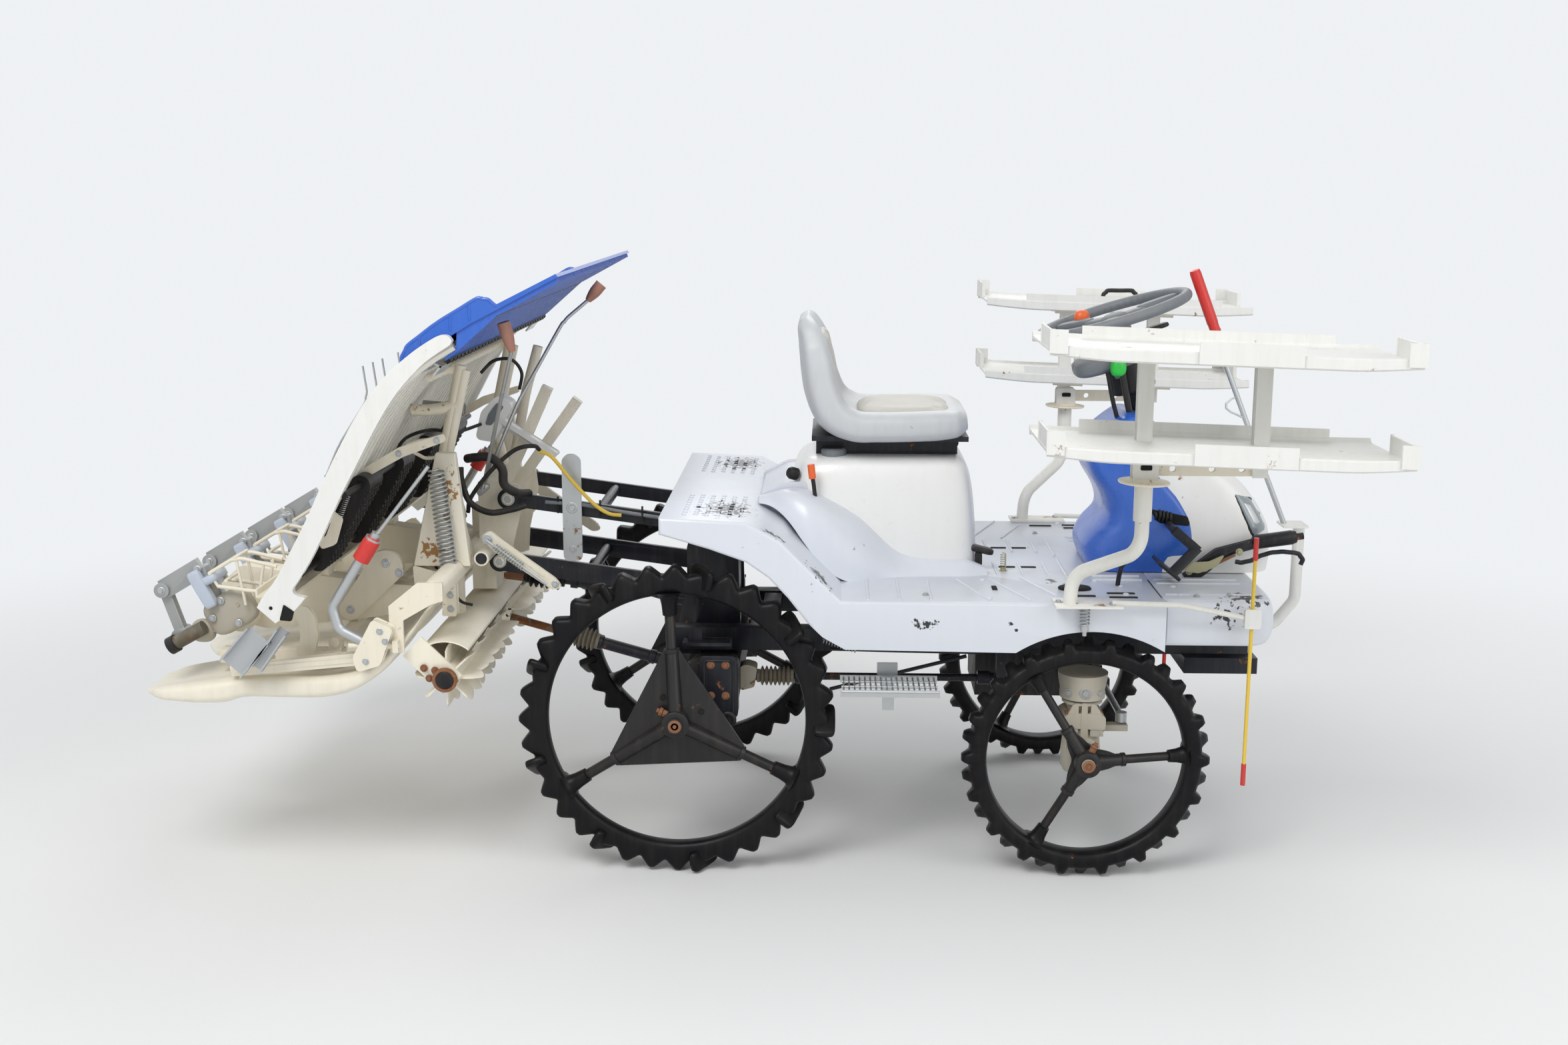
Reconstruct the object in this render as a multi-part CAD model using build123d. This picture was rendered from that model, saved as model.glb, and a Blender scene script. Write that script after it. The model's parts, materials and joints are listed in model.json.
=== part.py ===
from build123d import *
from math import sin, cos, acos, atan2, radians, hypot
import os

os.makedirs("parts", exist_ok=True)

# A riding rice transplanter for four rows. Millimetres. X points forwards, Y to the
# machine's left, Z up. The shapes below are laid out from the rear axle's centre on the
# ground, and each node is moved back by origin_ahead when it is written.

# Driving sizes
origin_ahead = 170.0
rear_wheel_d = 720.0
front_wheel_d = 560.0
wheelbase = 925.0
track = 840.0
row_pitch = 300.0
row_count = 4
fit_gap = 0.3
shaft_gap = 0.1

wheel_y = track / 2
rear_z = rear_wheel_d / 2
front_z = front_wheel_d / 2


# Small helpers for bars, plates and blocks

def block(x, y, z):
    """A box between two limits on each axis."""
    size = [high - low for low, high in (x, y, z)]
    centre = [(low + high) / 2 for low, high in (x, y, z)]
    return Pos(*centre) * Box(*size)


def bar(start, end, diameter):
    """A round bar between two points."""
    a, b = Vector(*start), Vector(*end)
    seat = Plane(origin=a, z_dir=b - a)
    return seat * Cylinder(diameter / 2, (b - a).length, align=(Align.CENTER, Align.CENTER, Align.MIN))


def bent_tube(points, diameter, bend, bore=0.0):
    """A round tube along straight runs joined by tangent bends."""
    path = FilletPolyline(*[Vector(*p) for p in points], radius=bend)
    start = Plane(origin=path @ 0, z_dir=path % 0)
    section = start * Circle(diameter / 2)
    if bore:
        section -= start * Circle(bore / 2)
    return sweep(section, path=path)


def across(x, z, y_low, y_high, diameter):
    """A round bar along Y."""
    return bar((x, y_low, z), (x, y_high, z), diameter)


def upright(x, y, z_low, z_high, diameter):
    """A round bar along Z."""
    return bar((x, y, z_low), (x, y, z_high), diameter)


def side_slab(outline, y_low, y_high, corner=0.0):
    """A side outline in X and Z, carried from y_low to y_high."""
    plane = Plane(origin=(0, y_high, 0), x_dir=(1, 0, 0), z_dir=(0, -1, 0))
    if corner:
        edge = FilletPolyline(*outline, radius=corner, close=True)
    else:
        edge = Polyline(*outline, close=True)
    return extrude(plane * make_face(edge), amount=y_high - y_low)


def beam(start, end, width, depth, y_mid):
    """A flat or square bar in the side plane, width along Y and depth in the plane."""
    (x0, z0), (x1, z1) = start, end
    run = hypot(x1 - x0, z1 - z0)
    across_x, across_z = -(z1 - z0) / run * depth / 2, (x1 - x0) / run * depth / 2
    outline = [
        (x0 + across_x, z0 + across_z),
        (x1 + across_x, z1 + across_z),
        (x1 - across_x, z1 - across_z),
        (x0 - across_x, z0 - across_z),
    ]
    return side_slab(outline, y_mid - width / 2, y_mid + width / 2)


def strap(centre_a, r_a, centre_b, r_b, y_low, y_high):
    """A flat plate with two round ends joined by their common tangents."""
    (x_a, z_a), (x_b, z_b) = centre_a, centre_b
    run = hypot(x_b - x_a, z_b - z_a)
    way = atan2(z_b - z_a, x_b - x_a)
    lean = acos((r_a - r_b) / run)
    web = []
    ends = ((centre_a, r_a), (centre_b, r_b))
    corners = [(end, lean) for end in ends] + [(end, -lean) for end in reversed(ends)]
    for ((x, z), r), turn in corners:
        web.append((x + r * cos(way + turn), z + r * sin(way + turn)))
    plate = side_slab(web, y_low, y_high)
    return plate + across(x_a, z_a, y_low, y_high, 2 * r_a) + across(x_b, z_b, y_low, y_high, 2 * r_b)


def both_sides(shape):
    """The shape and its mirror image on the machine's left."""
    return [shape, mirror(shape, about=Plane.XZ)]


def save(name, *shapes):
    """Write one node, moved to the machine's origin."""
    solids = [solid for shape in shapes for solid in shape.solids()]
    moved = [solid.moved(Location((-origin_ahead, 0, 0))) for solid in solids]
    export_step(Compound(moved), f"parts/{name}.step")


# Wheels: a rubber-covered tube ring with lugs, on three spokes

def lugged_ring(
    outer_r, base_r, inner_r, width, lug_count, lug_width, lug_long, lug_tip, paddle_every, paddle
):
    """The rubber ring round the Y axis, with its lugs."""
    chamfer_size = width * 0.3
    section = Polyline(
        (inner_r, -width / 2 + chamfer_size),
        (inner_r + chamfer_size, -width / 2),
        (base_r - chamfer_size / 2, -width / 2),
        (base_r, -width / 2 + chamfer_size),
        (base_r, width / 2 - chamfer_size),
        (base_r - chamfer_size / 2, width / 2),
        (inner_r + chamfer_size, width / 2),
        (inner_r, width / 2 - chamfer_size),
        close=True,
    )
    ring = revolve(make_face(section), axis=Axis.Y)
    root_r = base_r - chamfer_size
    lugs = []
    for number in range(lug_count):
        turn = Rot(0, -number * 360 / lug_count, 0)
        if paddle_every and number % paddle_every == 0:
            long, thick, slant, foot_r = paddle
            lug = Pos((outer_r + foot_r) / 2, 0, 0) * Rot(slant, 0, 0) * Box(outer_r - foot_r, long, thick)
        else:
            side = 0 if paddle_every else (lug_width / 4) * (1 if number % 2 else -1)
            outline = [
                (root_r, -lug_long / 2),
                (outer_r, -lug_tip / 2),
                (outer_r, lug_tip / 2),
                (root_r, lug_long / 2),
            ]
            lug = Pos(0, side, 0) * side_slab(outline, -lug_width / 2, lug_width / 2)
        lugs.append(turn * lug)
    return ring + lugs


rear_base_r = 337.0
rear_inner_r = 292.0
rear_ring_width = 44.0
front_base_r = 262.0
front_inner_r = 222.0
front_ring_width = 60.0

rear_ring = lugged_ring(
    rear_z, rear_base_r, rear_inner_r, rear_ring_width,
    lug_count=36, lug_width=46.0, lug_long=44.0, lug_tip=10.0,
    paddle_every=4, paddle=(92.0, 16.0, 32.0, 312.0),
)
front_ring = lugged_ring(
    front_z, front_base_r, front_inner_r, front_ring_width,
    lug_count=36, lug_width=34.0, lug_long=26.0, lug_tip=18.0,
    paddle_every=0, paddle=None,
)


def spider(hub_d, hub_in, hub_out, axle_d, inner_r, spoke_start, spoke_angles, sleeve, rod_d, rise, plate_r):
    """Hub, three spokes and, at the rear, the dished triangle, round the Y axis."""
    sleeve_d, sleeve_r = sleeve
    hub = across(0, 0, -hub_out, hub_in, hub_d)
    spokes = []
    for angle in spoke_angles:
        c, s = cos(radians(angle)), sin(radians(angle))

        def at(radius):
            return (radius * c, -rise * (1 - radius / inner_r), radius * s)
        spokes.append(bar(at(spoke_start), at(sleeve_r), sleeve_d))
        spokes.append(bar(at(sleeve_r - 4), at(inner_r + 6), rod_d))
    body = hub + spokes
    if plate_r:
        corners = []
        for angle in spoke_angles:
            for spread in (-6, 6):
                a = radians(angle + spread)
                corners.append((plate_r * cos(a), plate_r * sin(a)))
        plate = Pos(0, -rise * 0.55, 0) * side_slab(corners, -3, 3)
        body += plate
    return body - across(0, 0, -hub_out - 1, hub_in + 1, axle_d + 2 * shaft_gap)


rear_axle_d = 34.0
rear_hub_d = 62.0
rear_hub_in = 40.0
rear_hub_out = 49.0
front_axle_d = 30.0
front_hub_d = 58.0
front_hub_in = 18.0
front_hub_out = 60.0

rear_spider = spider(
    rear_hub_d, rear_hub_in, rear_hub_out, rear_axle_d, rear_inner_r, 22.0, (93, 213, 333),
    sleeve=(32.0, 168.0), rod_d=24.0, rise=30.0, plate_r=168.0,
) - rear_ring
front_spider = spider(
    front_hub_d, front_hub_in, front_hub_out, front_axle_d, front_inner_r, 20.0, (2, 122, 242),
    sleeve=(28.0, 86.0), rod_d=20.0, rise=34.0, plate_r=0.0,
) - front_ring

for side, sign in (("right", -1), ("left", 1)):
    for place, ring, centre, x, z in (
        ("rear", rear_ring, rear_spider, 0.0, rear_z),
        ("front", front_ring, front_spider, wheelbase, front_z),
    ):
        if sign > 0:
            ring = mirror(ring, about=Plane.XZ)
            centre = mirror(centre, about=Plane.XZ)
        seat = Pos(x, sign * wheel_y, z)
        save(f"tyre_{place}_{side}", seat * ring)
        save(f"wheel_centre_{place}_{side}", seat * centre)

# Front axle beam and steered knuckles
king_y = wheel_y - 70.0
king_d = 28.0
housing_d = 100.0
housing_z = (402.0, 462.0)
beam_z_range = (408.0, 452.0)
knuckle_top = housing_z[0] - fit_gap
knuckle_d = 92.0
knuckle_foot = 222.0
axle_beam = block((wheelbase - 35, wheelbase + 35), (-king_y, king_y), beam_z_range)
for y in (-king_y, king_y):
    axle_beam += upright(wheelbase, y, housing_z[0], housing_z[1], housing_d)
gearbox_x = (wheelbase - 225.0, wheelbase + 75.0)
gearbox_half = 110.0
gearbox_z = (330.0, 640.0)
gearbox_step = (140.0, 120.0)
track_rod_d = 16.0
rod_x, rod_z = wheelbase + 95.0, 347.0
axle_beam += block(gearbox_x, (-gearbox_half, gearbox_half), gearbox_z) - block(
    (gearbox_x[0] - 1, gearbox_x[0] + gearbox_step[0]),
    (-gearbox_half - 1, gearbox_half + 1),
    (gearbox_z[1] - gearbox_step[1], gearbox_z[1] + 1),
)
for y in (-king_y, king_y):
    axle_beam -= upright(wheelbase, y, housing_z[0] - 1, housing_z[1] - 12, king_d + 2 * shaft_gap)
for y in (-60.0, 60.0):
    axle_beam += block((gearbox_x[1] - 2, rod_x + 14), (y - 9, y + 9), (rod_z - 14, rod_z + 14))
axle_beam -= across(rod_x, rod_z, -110, 110, track_rod_d + 2 * shaft_gap)
save("front_axle", axle_beam)

steer_arm_long = rod_x - wheelbase
steer_arm_top = 330.0
front_stub_end = wheel_y + front_hub_out + 8
knuckle = upright(wheelbase, -king_y, knuckle_foot, knuckle_top, knuckle_d)
knuckle += upright(wheelbase, -king_y, knuckle_top, housing_z[1] - 13, king_d)
knuckle += across(wheelbase, front_z, -(wheel_y - front_hub_in - 1), -king_y, 70.0)
knuckle += across(wheelbase, front_z, -front_stub_end, -king_y, front_axle_d)
steer_arm_x = (wheelbase + 20, wheelbase + steer_arm_long + 14)
knuckle += block(steer_arm_x, (-king_y + 10, -king_y + 38), (steer_arm_top - 14, steer_arm_top))
save("knuckle_right", knuckle)
save("knuckle_left", mirror(knuckle, about=Plane.XZ))

# Track rod above the steering arms, its balls clear of them
rod_pin_y = king_y - 24.0
track_rod = across(rod_x, rod_z, -rod_pin_y, rod_pin_y, track_rod_d)
for y in (-rod_pin_y, rod_pin_y):
    track_rod += upright(rod_x, y, rod_z - 11, rod_z + 11, 26.0)
save("track_rod", track_rod)

# Rear axle case with its two drop cases and stub axles
case_y = (wheel_y - 120.0, wheel_y - 75.0)
rear_stub_end = wheel_y + rear_hub_out + 10
rear_case = block((15, 135), (-case_y[0], case_y[0]), (375.0, 455.0))
for sign in (-1, 1):
    y_in, y_out = case_y
    low, high = sorted((sign * y_in, sign * y_out))
    drop_line = [(-40, 320), (20, 300), (135, 340), (135, 482), (40, 482), (-40, 410)]
    drop = side_slab(drop_line, low, high, corner=18)
    low, high = sorted((sign * y_out, sign * (wheel_y - rear_hub_in - 1)))
    boss = across(0, rear_z, low - 2, high + 2, 74.0) & block((-60, 60), (low, high), (250, 450))
    low, high = sorted((sign * y_in, sign * rear_stub_end))
    rear_case += [drop, boss, across(0, rear_z, low, high, rear_axle_d)]
spin_front = (-52.0, 0.0, 375.0)
spin_pin_d = 14.0
for sign in (-1, 1):
    low, high = sorted((sign * 20, sign * 30))
    x, z = spin_front[0] - 12, spin_front[2]
    rear_case += side_slab([(x, z - 12), (30, z + 5), (30, z + 55), (x, z + 15)], low, high)
rear_case += across(spin_front[0], spin_front[2], -24, 24, spin_pin_d)
save("rear_axle_case", rear_case)

# Drive shafts from the front gearbox to the rear drop cases
shaft_y = 200.0
drive_z = 400.0
rear_shaft_x = 135.0 + fit_gap
carrier_x = (gearbox_x[0] + 40.0, gearbox_x[0] + 80.0)
shafts = []
for y in (-shaft_y, shaft_y):
    shaft = bar((rear_shaft_x, y, drive_z), (carrier_x[0] - fit_gap, y, drive_z), 26.0)
    for k in range(6):
        x = rear_shaft_x + 14 + k * 14
        shaft += bar((x, y, drive_z), (x + 9, y, drive_z), 58.0)
    shafts.append(shaft)
drive_carrier = None
for y in (-shaft_y, shaft_y):
    hanger = block(carrier_x, (y - 25, y + 25), (drive_z - 28, 470.0))
    drive_carrier = hanger if drive_carrier is None else drive_carrier + hanger
save("drive_shafts", *shafts)

# Chassis frame: two rails, cross members, rear mast and front bracket
rail_y = 190.0
rail_w = 46.0
rail_z = (466.0, 520.0)
frame_rear = -30.0
frame_front = wheelbase + 405.0
floor_top = 650.0
floor_skin = 4.0
floor_under = floor_top - floor_skin - fit_gap
pivot_x = 40.0
lower_pivot_z = 600.0
upper_pivot = (64.0, 752.0)
link_y = 150.0
mast_t = 10.0
mast_inner = link_y - 34.0
rear_deck_z = 826.0
frame = None
for sign in (-1, 1):
    y0, y1 = sorted((sign * (rail_y - rail_w / 2), sign * (rail_y + rail_w / 2)))
    rail = block((frame_rear, frame_front), (y0, y1), rail_z)
    frame = rail if frame is None else frame + rail
for x in (200.0, 640.0, wheelbase + 125, frame_front - 30):
    frame += block((x - 22, x + 22), (-rail_y, rail_y), (rail_z[0] + 8, rail_z[1] - 4))
for x in (380.0, 560.0):
    frame += block((x - 22, x + 22), (-rail_y, rail_y), (rail_z[0] + 8, rail_z[1]))
for sign in (-1, 1):
    y0, y1 = sorted((sign * rail_y, sign * (mast_inner - mast_t)))
    frame += block((-27, 17), (y0, y1), (rail_z[0] + 2, rail_z[1] - 26))
for x in (400.0, 700.0, wheelbase + 115):
    for y in (-rail_y, rail_y):
        frame += block((x - 18, x + 18), (y - 18, y + 18), (rail_z[1] - 2, floor_under))
mast_outline = [
    (frame_rear, rail_z[0]),
    (pivot_x + 90, rail_z[0]),
    (pivot_x + 80, rear_deck_z - floor_skin - fit_gap),
    (pivot_x - 10, rear_deck_z - floor_skin - fit_gap),
    (pivot_x - 40, upper_pivot[1] - 60),
    (pivot_x - 40, lower_pivot_z + 10),
]
for sign in (-1, 1):
    y0, y1 = sorted((sign * mast_inner, sign * (mast_inner - mast_t)))
    frame += side_slab(mast_outline, y0, y1)
frame += block((pivot_x + 66, pivot_x + 80), (-mast_inner, mast_inner), (rail_z[0], 700.0))
pin_d = 24.0
for x, z in ((pivot_x, lower_pivot_z), upper_pivot):
    for sign in (-1, 1):
        y0, y1 = sorted((sign * (mast_inner - mast_t), sign * (link_y + 16)))
        frame += across(x, z, y0, y1, pin_d)
for y in (-rail_y, rail_y):
    frame += block((-20, 40), (y - 20, y + 20), (455.0 + fit_gap, rail_z[0] + 2))
cylinder_foot = (60.0, 520.0)
frame += across(cylinder_foot[0], cylinder_foot[1], -mast_inner, mast_inner, 20.0)
pto_front = (60.0, -80.0, 562.0)
frame += across(pto_front[0], pto_front[2], -mast_inner, pto_front[1] + 20, 16.0)
under_tray = block((frame_front - 155, frame_front + 15), (-250, 250), (430, rail_z[0] + 2))
frame += under_tray - block((frame_front - 149, frame_front + 70), (-244, 244), (400, rail_z[0] - 4))
for sign in (-1, 1):
    y0, y1 = sorted((sign * (rail_y - 20), sign * (rail_y + 20)))
    frame += block((wheelbase - 30, wheelbase + 30), (y0, y1), (beam_z_range[1] + fit_gap, rail_z[0] + 2))
frame += drive_carrier
gearbox_room_x = (gearbox_x[0] - fit_gap, gearbox_x[1] + fit_gap)
frame -= block(gearbox_room_x, (-gearbox_half - fit_gap, gearbox_half + fit_gap), gearbox_z)
save("chassis_frame", frame)

# Engine under the seat
engine = block((330, 610), (-150, 150), (rail_z[1] + fit_gap, 860.0))
save("engine", engine)

# Step floor with rear deck and wheel arches: one moulding, open below
floor_half = 470.0
floor_rear = -32.0
floor_seam = wheelbase + 160.0
arch_front_r = 306.0
skirt_low = 540.0
floor_top_line = [
    (floor_rear, rear_deck_z + 8),
    (160, rear_deck_z),
    (236, rear_deck_z - 42),
    (300, 720),
    (371, floor_top),
    (floor_seam, floor_top),
]
skirt_line = [
    (floor_seam, skirt_low),
    (wheelbase - 141, skirt_low - 4),
    (380, skirt_low),
    (330, 568),
    (290, 606),
    (252, 655),
    (210, 700),
    (160, 735),
    (78, 764),
    (floor_rear, 796),
]


def moulding(top_line, low_line, half, skin, rear_x, front_x):
    """A shell with a top and four sides, open below, its long top edges rounded."""
    outer = side_slab(top_line + low_line, -half, half)
    top_low = min(z for x, z in top_line)
    side_edges = outer.faces().sort_by(Axis.Y)[0].edges() + outer.faces().sort_by(Axis.Y)[-1].edges()
    long_edges = [e for e in side_edges if min(v.Z for v in e.vertices()) > top_low - 1]
    outer = fillet(long_edges, 2 * skin)
    lowered = [(x, z - skin) for x, z in top_line]
    lowered[0] = (rear_x + skin, lowered[0][1])
    lowered[-1] = (front_x - skin, lowered[-1][1])
    inner = side_slab(lowered + [(front_x - skin, 300), (rear_x + skin, 300)], -half + skin, half - skin)
    return outer - inner


floor_shell = moulding(floor_top_line, skirt_line, floor_half, floor_skin, floor_rear, floor_seam)
arch = across(wheelbase, front_z, -floor_half - 10, floor_half + 10, 2 * arch_front_r)
floor_shell -= arch & block((0, 2 * floor_seam), (-floor_half - 10, floor_half + 10), (0, floor_top - 20))
cover_x = (246.0, 692.0)
cover_half = 190.0
floor_shell -= block((cover_x[0] + 24, cover_x[1] - 24), (-cover_half + 20, cover_half - 20), (500, 900))
column_gap = ((floor_seam - 75, floor_seam + 195), 120.0)
floor_shell -= block(column_gap[0], (-column_gap[1], column_gap[1]), (floor_top - 50, floor_top + 50))
save("step_floor", floor_shell)

# Front deck
deck_front = wheelbase + 420.0
deck_half = 430.0
deck_line = [(floor_seam + 1, floor_top), (deck_front - 15, floor_top), (deck_front, floor_top - 18)]
deck_low = [(deck_front, 545), (floor_seam + 1, skirt_low)]
deck_shell = moulding(deck_line, deck_low, deck_half, floor_skin, floor_seam + 1, deck_front)
deck_shell -= arch
deck_shell -= block(column_gap[0], (-column_gap[1], column_gap[1]), (floor_top - 50, floor_top + 50))
save("front_deck", deck_shell)

# Engine cover below the seat
cover_top = 922.0
cover_line = [
    (cover_x[0] + 50, cover_top),
    (cover_x[1] - 40, cover_top),
    (cover_x[1] - 10, 880),
    (cover_x[1], 740),
    (cover_x[1] - 12, floor_top + fit_gap),
    (cover_x[0] + 20, floor_top + fit_gap),
    (cover_x[0], 870),
    (cover_x[0] + 16, 905),
]
cover_skin = 4.0
cover_outer = side_slab(cover_line, -cover_half, cover_half, corner=14)
cover_outer = fillet(cover_outer.edges().group_by(Axis.Z)[-1].filter_by(Axis.X), 24)
cover_inner = block(
    (cover_x[0] + 34, cover_x[1] - 28),
    (-cover_half + cover_skin, cover_half - cover_skin),
    (500, cover_top - cover_skin - 20),
)
floor_clear = side_slab([(x, z + fit_gap) for x, z in floor_top_line] + skirt_line, -floor_half, floor_half)
save("engine_cover", cover_outer - floor_clear - cover_inner)

# Cowl round the steering column and the white hood ahead of it
cowl_half = 165.0
cowl_split_x = wheelbase + 137.0
cowl_top = 1022.0
cowl_ledge_x = cowl_split_x + 120.0
cowl_line = [
    (cowl_split_x - 104, floor_top + fit_gap),
    (cowl_split_x - 112, 722),
    (cowl_split_x - 62, 800),
    (cowl_split_x - 114, 905),
    (cowl_split_x - 117, 936),
    (cowl_split_x - 7, cowl_top),
    (cowl_ledge_x - 14, 1004),
    (cowl_ledge_x, 905),
    (cowl_split_x + 229, 893),
    (cowl_split_x + 263, 860),
    (cowl_split_x + 290, 826),
    (cowl_split_x + 331, 753),
    (cowl_split_x + 333, floor_top + fit_gap),
]
cowl_room = [
    (cowl_split_x - 92, floor_top - 100),
    (cowl_split_x - 96, 722),
    (cowl_split_x - 46, 800),
    (cowl_split_x - 98, 905),
    (cowl_split_x - 100, 930),
    (cowl_split_x - 5, cowl_top - 19),
    (cowl_ledge_x - 30, 990),
    (cowl_ledge_x - 16, 885),
    (cowl_split_x + 223, 874),
    (cowl_split_x + 278, 822),
    (cowl_split_x + 316, 750),
    (cowl_split_x + 318, floor_top - 100),
]
cowl_split_z = 765.0
cowl_split_r = 132.0
cowl_skin = 4.0


def cowl_side(half, skin):
    """The outline of cowl and hood together, less the space inside."""
    outer = side_slab(cowl_line, -half, half)
    inner = side_slab(cowl_room, -half + skin, half - skin)
    return outer, inner


cowl_outer, cowl_inner = cowl_side(cowl_half, cowl_skin)


def cowl_reach(gap):
    """The space that the cowl takes of the outline, widened by a gap."""
    y_range = (-2 * cowl_half, 2 * cowl_half)
    reach = block((cowl_split_x - 2 * cowl_half, cowl_split_x), y_range, (floor_top - 50, 2 * cowl_top))
    reach += across(cowl_split_x, cowl_split_z, *y_range, 2 * (cowl_split_r + gap))
    upper = (cowl_split_z + cowl_split_r - 2, 2 * cowl_top)
    return reach + block((cowl_split_x - 5, cowl_ledge_x + gap), y_range, upper)


column_top = (wheelbase + 94.0, 1247.0)
tilt = radians(17.3)


def on_column(distance):
    """The point this far down the steering column's axis from the wheel."""
    return (column_top[0] + distance * sin(tilt), 0.0, column_top[1] - distance * cos(tilt))


column_d = 46.0
column_hole = bar(on_column(120), on_column(520), column_d + 2 * fit_gap)
save("cowl", (cowl_outer & cowl_reach(0.0)) - cowl_inner - column_hole)
hood = (cowl_outer - cowl_reach(1.0)) - cowl_inner
lamp_x = cowl_split_x + 290.0
lamp_line = [(lamp_x - 52, 812), (lamp_x, 824), (lamp_x + 40, 756), (lamp_x + 36, 748), (lamp_x - 22, 752)]
lamp_room = [(lamp_x - 53, 812), (lamp_x, 830), (lamp_x + 48, 760), (lamp_x + 38, 745), (lamp_x - 23, 751)]
lamps = []
for sign in (-1, 1):
    y0, y1 = sorted((sign * (cowl_half - 26), sign * (cowl_half + 1.5)))
    lamp = side_slab(lamp_line, y0, y1)
    lamp_pocket = side_slab(lamp_room, y0 - fit_gap, y1 + fit_gap)
    hood -= lamp_pocket
    lamps.append(lamp)
save("hood", hood)
save("headlamps", *lamps)

# Steering column with the dash below the wheel
column = bar(on_column(54.3), on_column(560), column_d)
dash = bar(on_column(112), on_column(190), 110.0)
column += dash
column &= block((cowl_split_x - 200, cowl_split_x + 350), (-200, 200), (floor_top - 60, column_top[1]))
save("steering_column", column)

wheel_rim_d = 380.0
rim_tube = 26.0
reach = (wheel_rim_d - rim_tube) / 2
steering = revolve(Plane.XZ * Pos(reach, 0) * Circle(rim_tube / 2), axis=Axis.Z)
steering += Pos(0, 0, -28) * Cylinder(34, 52)
for angle in (15, 135, 255):
    steering += Rot(0, 0, angle) * Pos(reach / 2 + 8, 0, -3) * Box(reach - 16, 30, 10)
wheel_plane = Plane(
    origin=(column_top[0], 0, column_top[1]),
    x_dir=(cos(tilt), 0, sin(tilt)),
    z_dir=(-sin(tilt), 0, cos(tilt)),
)
save("steering_wheel", wheel_plane * steering)

# Seat on its hinge at the front of the engine cover
seat_half = 215.0
hinge_x = 640.0
hinge_z = cover_top + 24.0
pan_z = cover_top + 38.0
pan_t = 12.0
hinge_rail_y = 92.0
hinge_rail_w = 12.0
hinge_pin_d = 8.0
pan = block((300, 668), (-seat_half + 60, seat_half - 60), (pan_z, pan_z + pan_t))
for y in (-70.0, 70.0):
    pan += across(hinge_x, hinge_z, y - 12, y + 12, 20.0)
    pan += block((hinge_x - 10, hinge_x + 10), (y - 12, y + 12), (hinge_z, pan_z + 1))
pan -= across(hinge_x, hinge_z, -100, 100, hinge_pin_d + 2 * shaft_gap)
save("seat_pan", pan)
hinge_rail_x = (310.0, hinge_x + 6.0)
hinge_base = block(hinge_rail_x, (-100, 100), (cover_top + fit_gap, cover_top + 4.3))
hinge_base += across(hinge_x, hinge_z, -96, 96, hinge_pin_d)
for y in (-hinge_rail_y, hinge_rail_y):
    low, high = y - hinge_rail_w / 2, y + hinge_rail_w / 2
    hinge_base += block(hinge_rail_x, (low, high), (cover_top + 4, hinge_z + 8))
    hinge_base += block((330, 360), (low, high), (cover_top + 4, pan_z - fit_gap))
save("seat_hinge", hinge_base)
seat_low = pan_z + pan_t + fit_gap
seat_line = [
    (300, seat_low),
    (664, seat_low),
    (676, seat_low + 33),
    (662, seat_low + 74),
    (600, seat_low + 80),
    (372, seat_low + 90),
    (352, seat_low + 114),
    (362, seat_low + 168),
    (352, seat_low + 216),
    (326, seat_low + 256),
    (296, seat_low + 287),
    (262, seat_low + 284),
    (262, seat_low + 228),
    (276, seat_low + 148),
    (292, seat_low + 68),
]
seat = side_slab(seat_line, -seat_half, seat_half, corner=9)
save("seat_cushion", seat)

# Racks for spare seedling trays on bent posts
post_foot = (wheelbase - 55.0, -485.0)
post_top = (wheelbase + 70.0, -620.0)
post_d = 30.0
sleeve_d = 38.0
sleeve_z = (866.0, 944.0)
post_line = [
    (post_foot[0], post_foot[1], floor_top + 4),
    (post_foot[0] + 4, post_foot[1] - 4, floor_top + 70),
    (post_top[0], post_top[1], 800.0),
    (post_top[0], post_top[1], sleeve_z[1]),
]
post = bent_tube(post_line, post_d, 62.0)
post += upright(post_top[0], post_top[1], sleeve_z[0], sleeve_z[1], sleeve_d)
foot_plate_x = (post_foot[0] - 34, post_foot[0] + 112)
foot_plate_y = (post_foot[1] - 36, post_foot[1] + 44)
post += block(foot_plate_x, foot_plate_y, (floor_top + fit_gap, floor_top + 5.3))
sight_x = deck_front - 73.0
sight_y = -468.0
guard_bar_line = [
    (post_foot[0] + 90, -500, floor_top + 9),
    (sight_x - 162, -500, floor_top + 6),
    (sight_x - 10, -470, floor_top - 30),
]
guard_bar = bent_tube(guard_bar_line, 12.0, 60.0)
post += guard_bar + upright(sight_x, sight_y, floor_top - 48, floor_top - 14, 18.0)
post -= upright(post_top[0], post_top[1], 880.0, sleeve_z[1] + 1, 20.0 + 2 * shaft_gap)
post -= upright(sight_x, sight_y, 500, 700, 8.0 + 2 * shaft_gap)
save("rack_posts", *both_sides(post))

rod_foot = 235.0
sight_rod = upright(sight_x, sight_y, rod_foot, 800.0, 8.0)
save("sight_rods", *both_sides(sight_rod))

rack_x = (post_top[0] - 5.0, post_top[0] + 235.0)
square = 28.0
disc_r = 54.0
tray_x = (post_top[0] - 230.0, post_top[0] + 485.0)
tray_y = (post_top[1] - 230.0, post_top[1] + 100.0)
tray_z = (1036.0, 1214.0)
tray_sheet = 3.0
flange = 26.0


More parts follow.
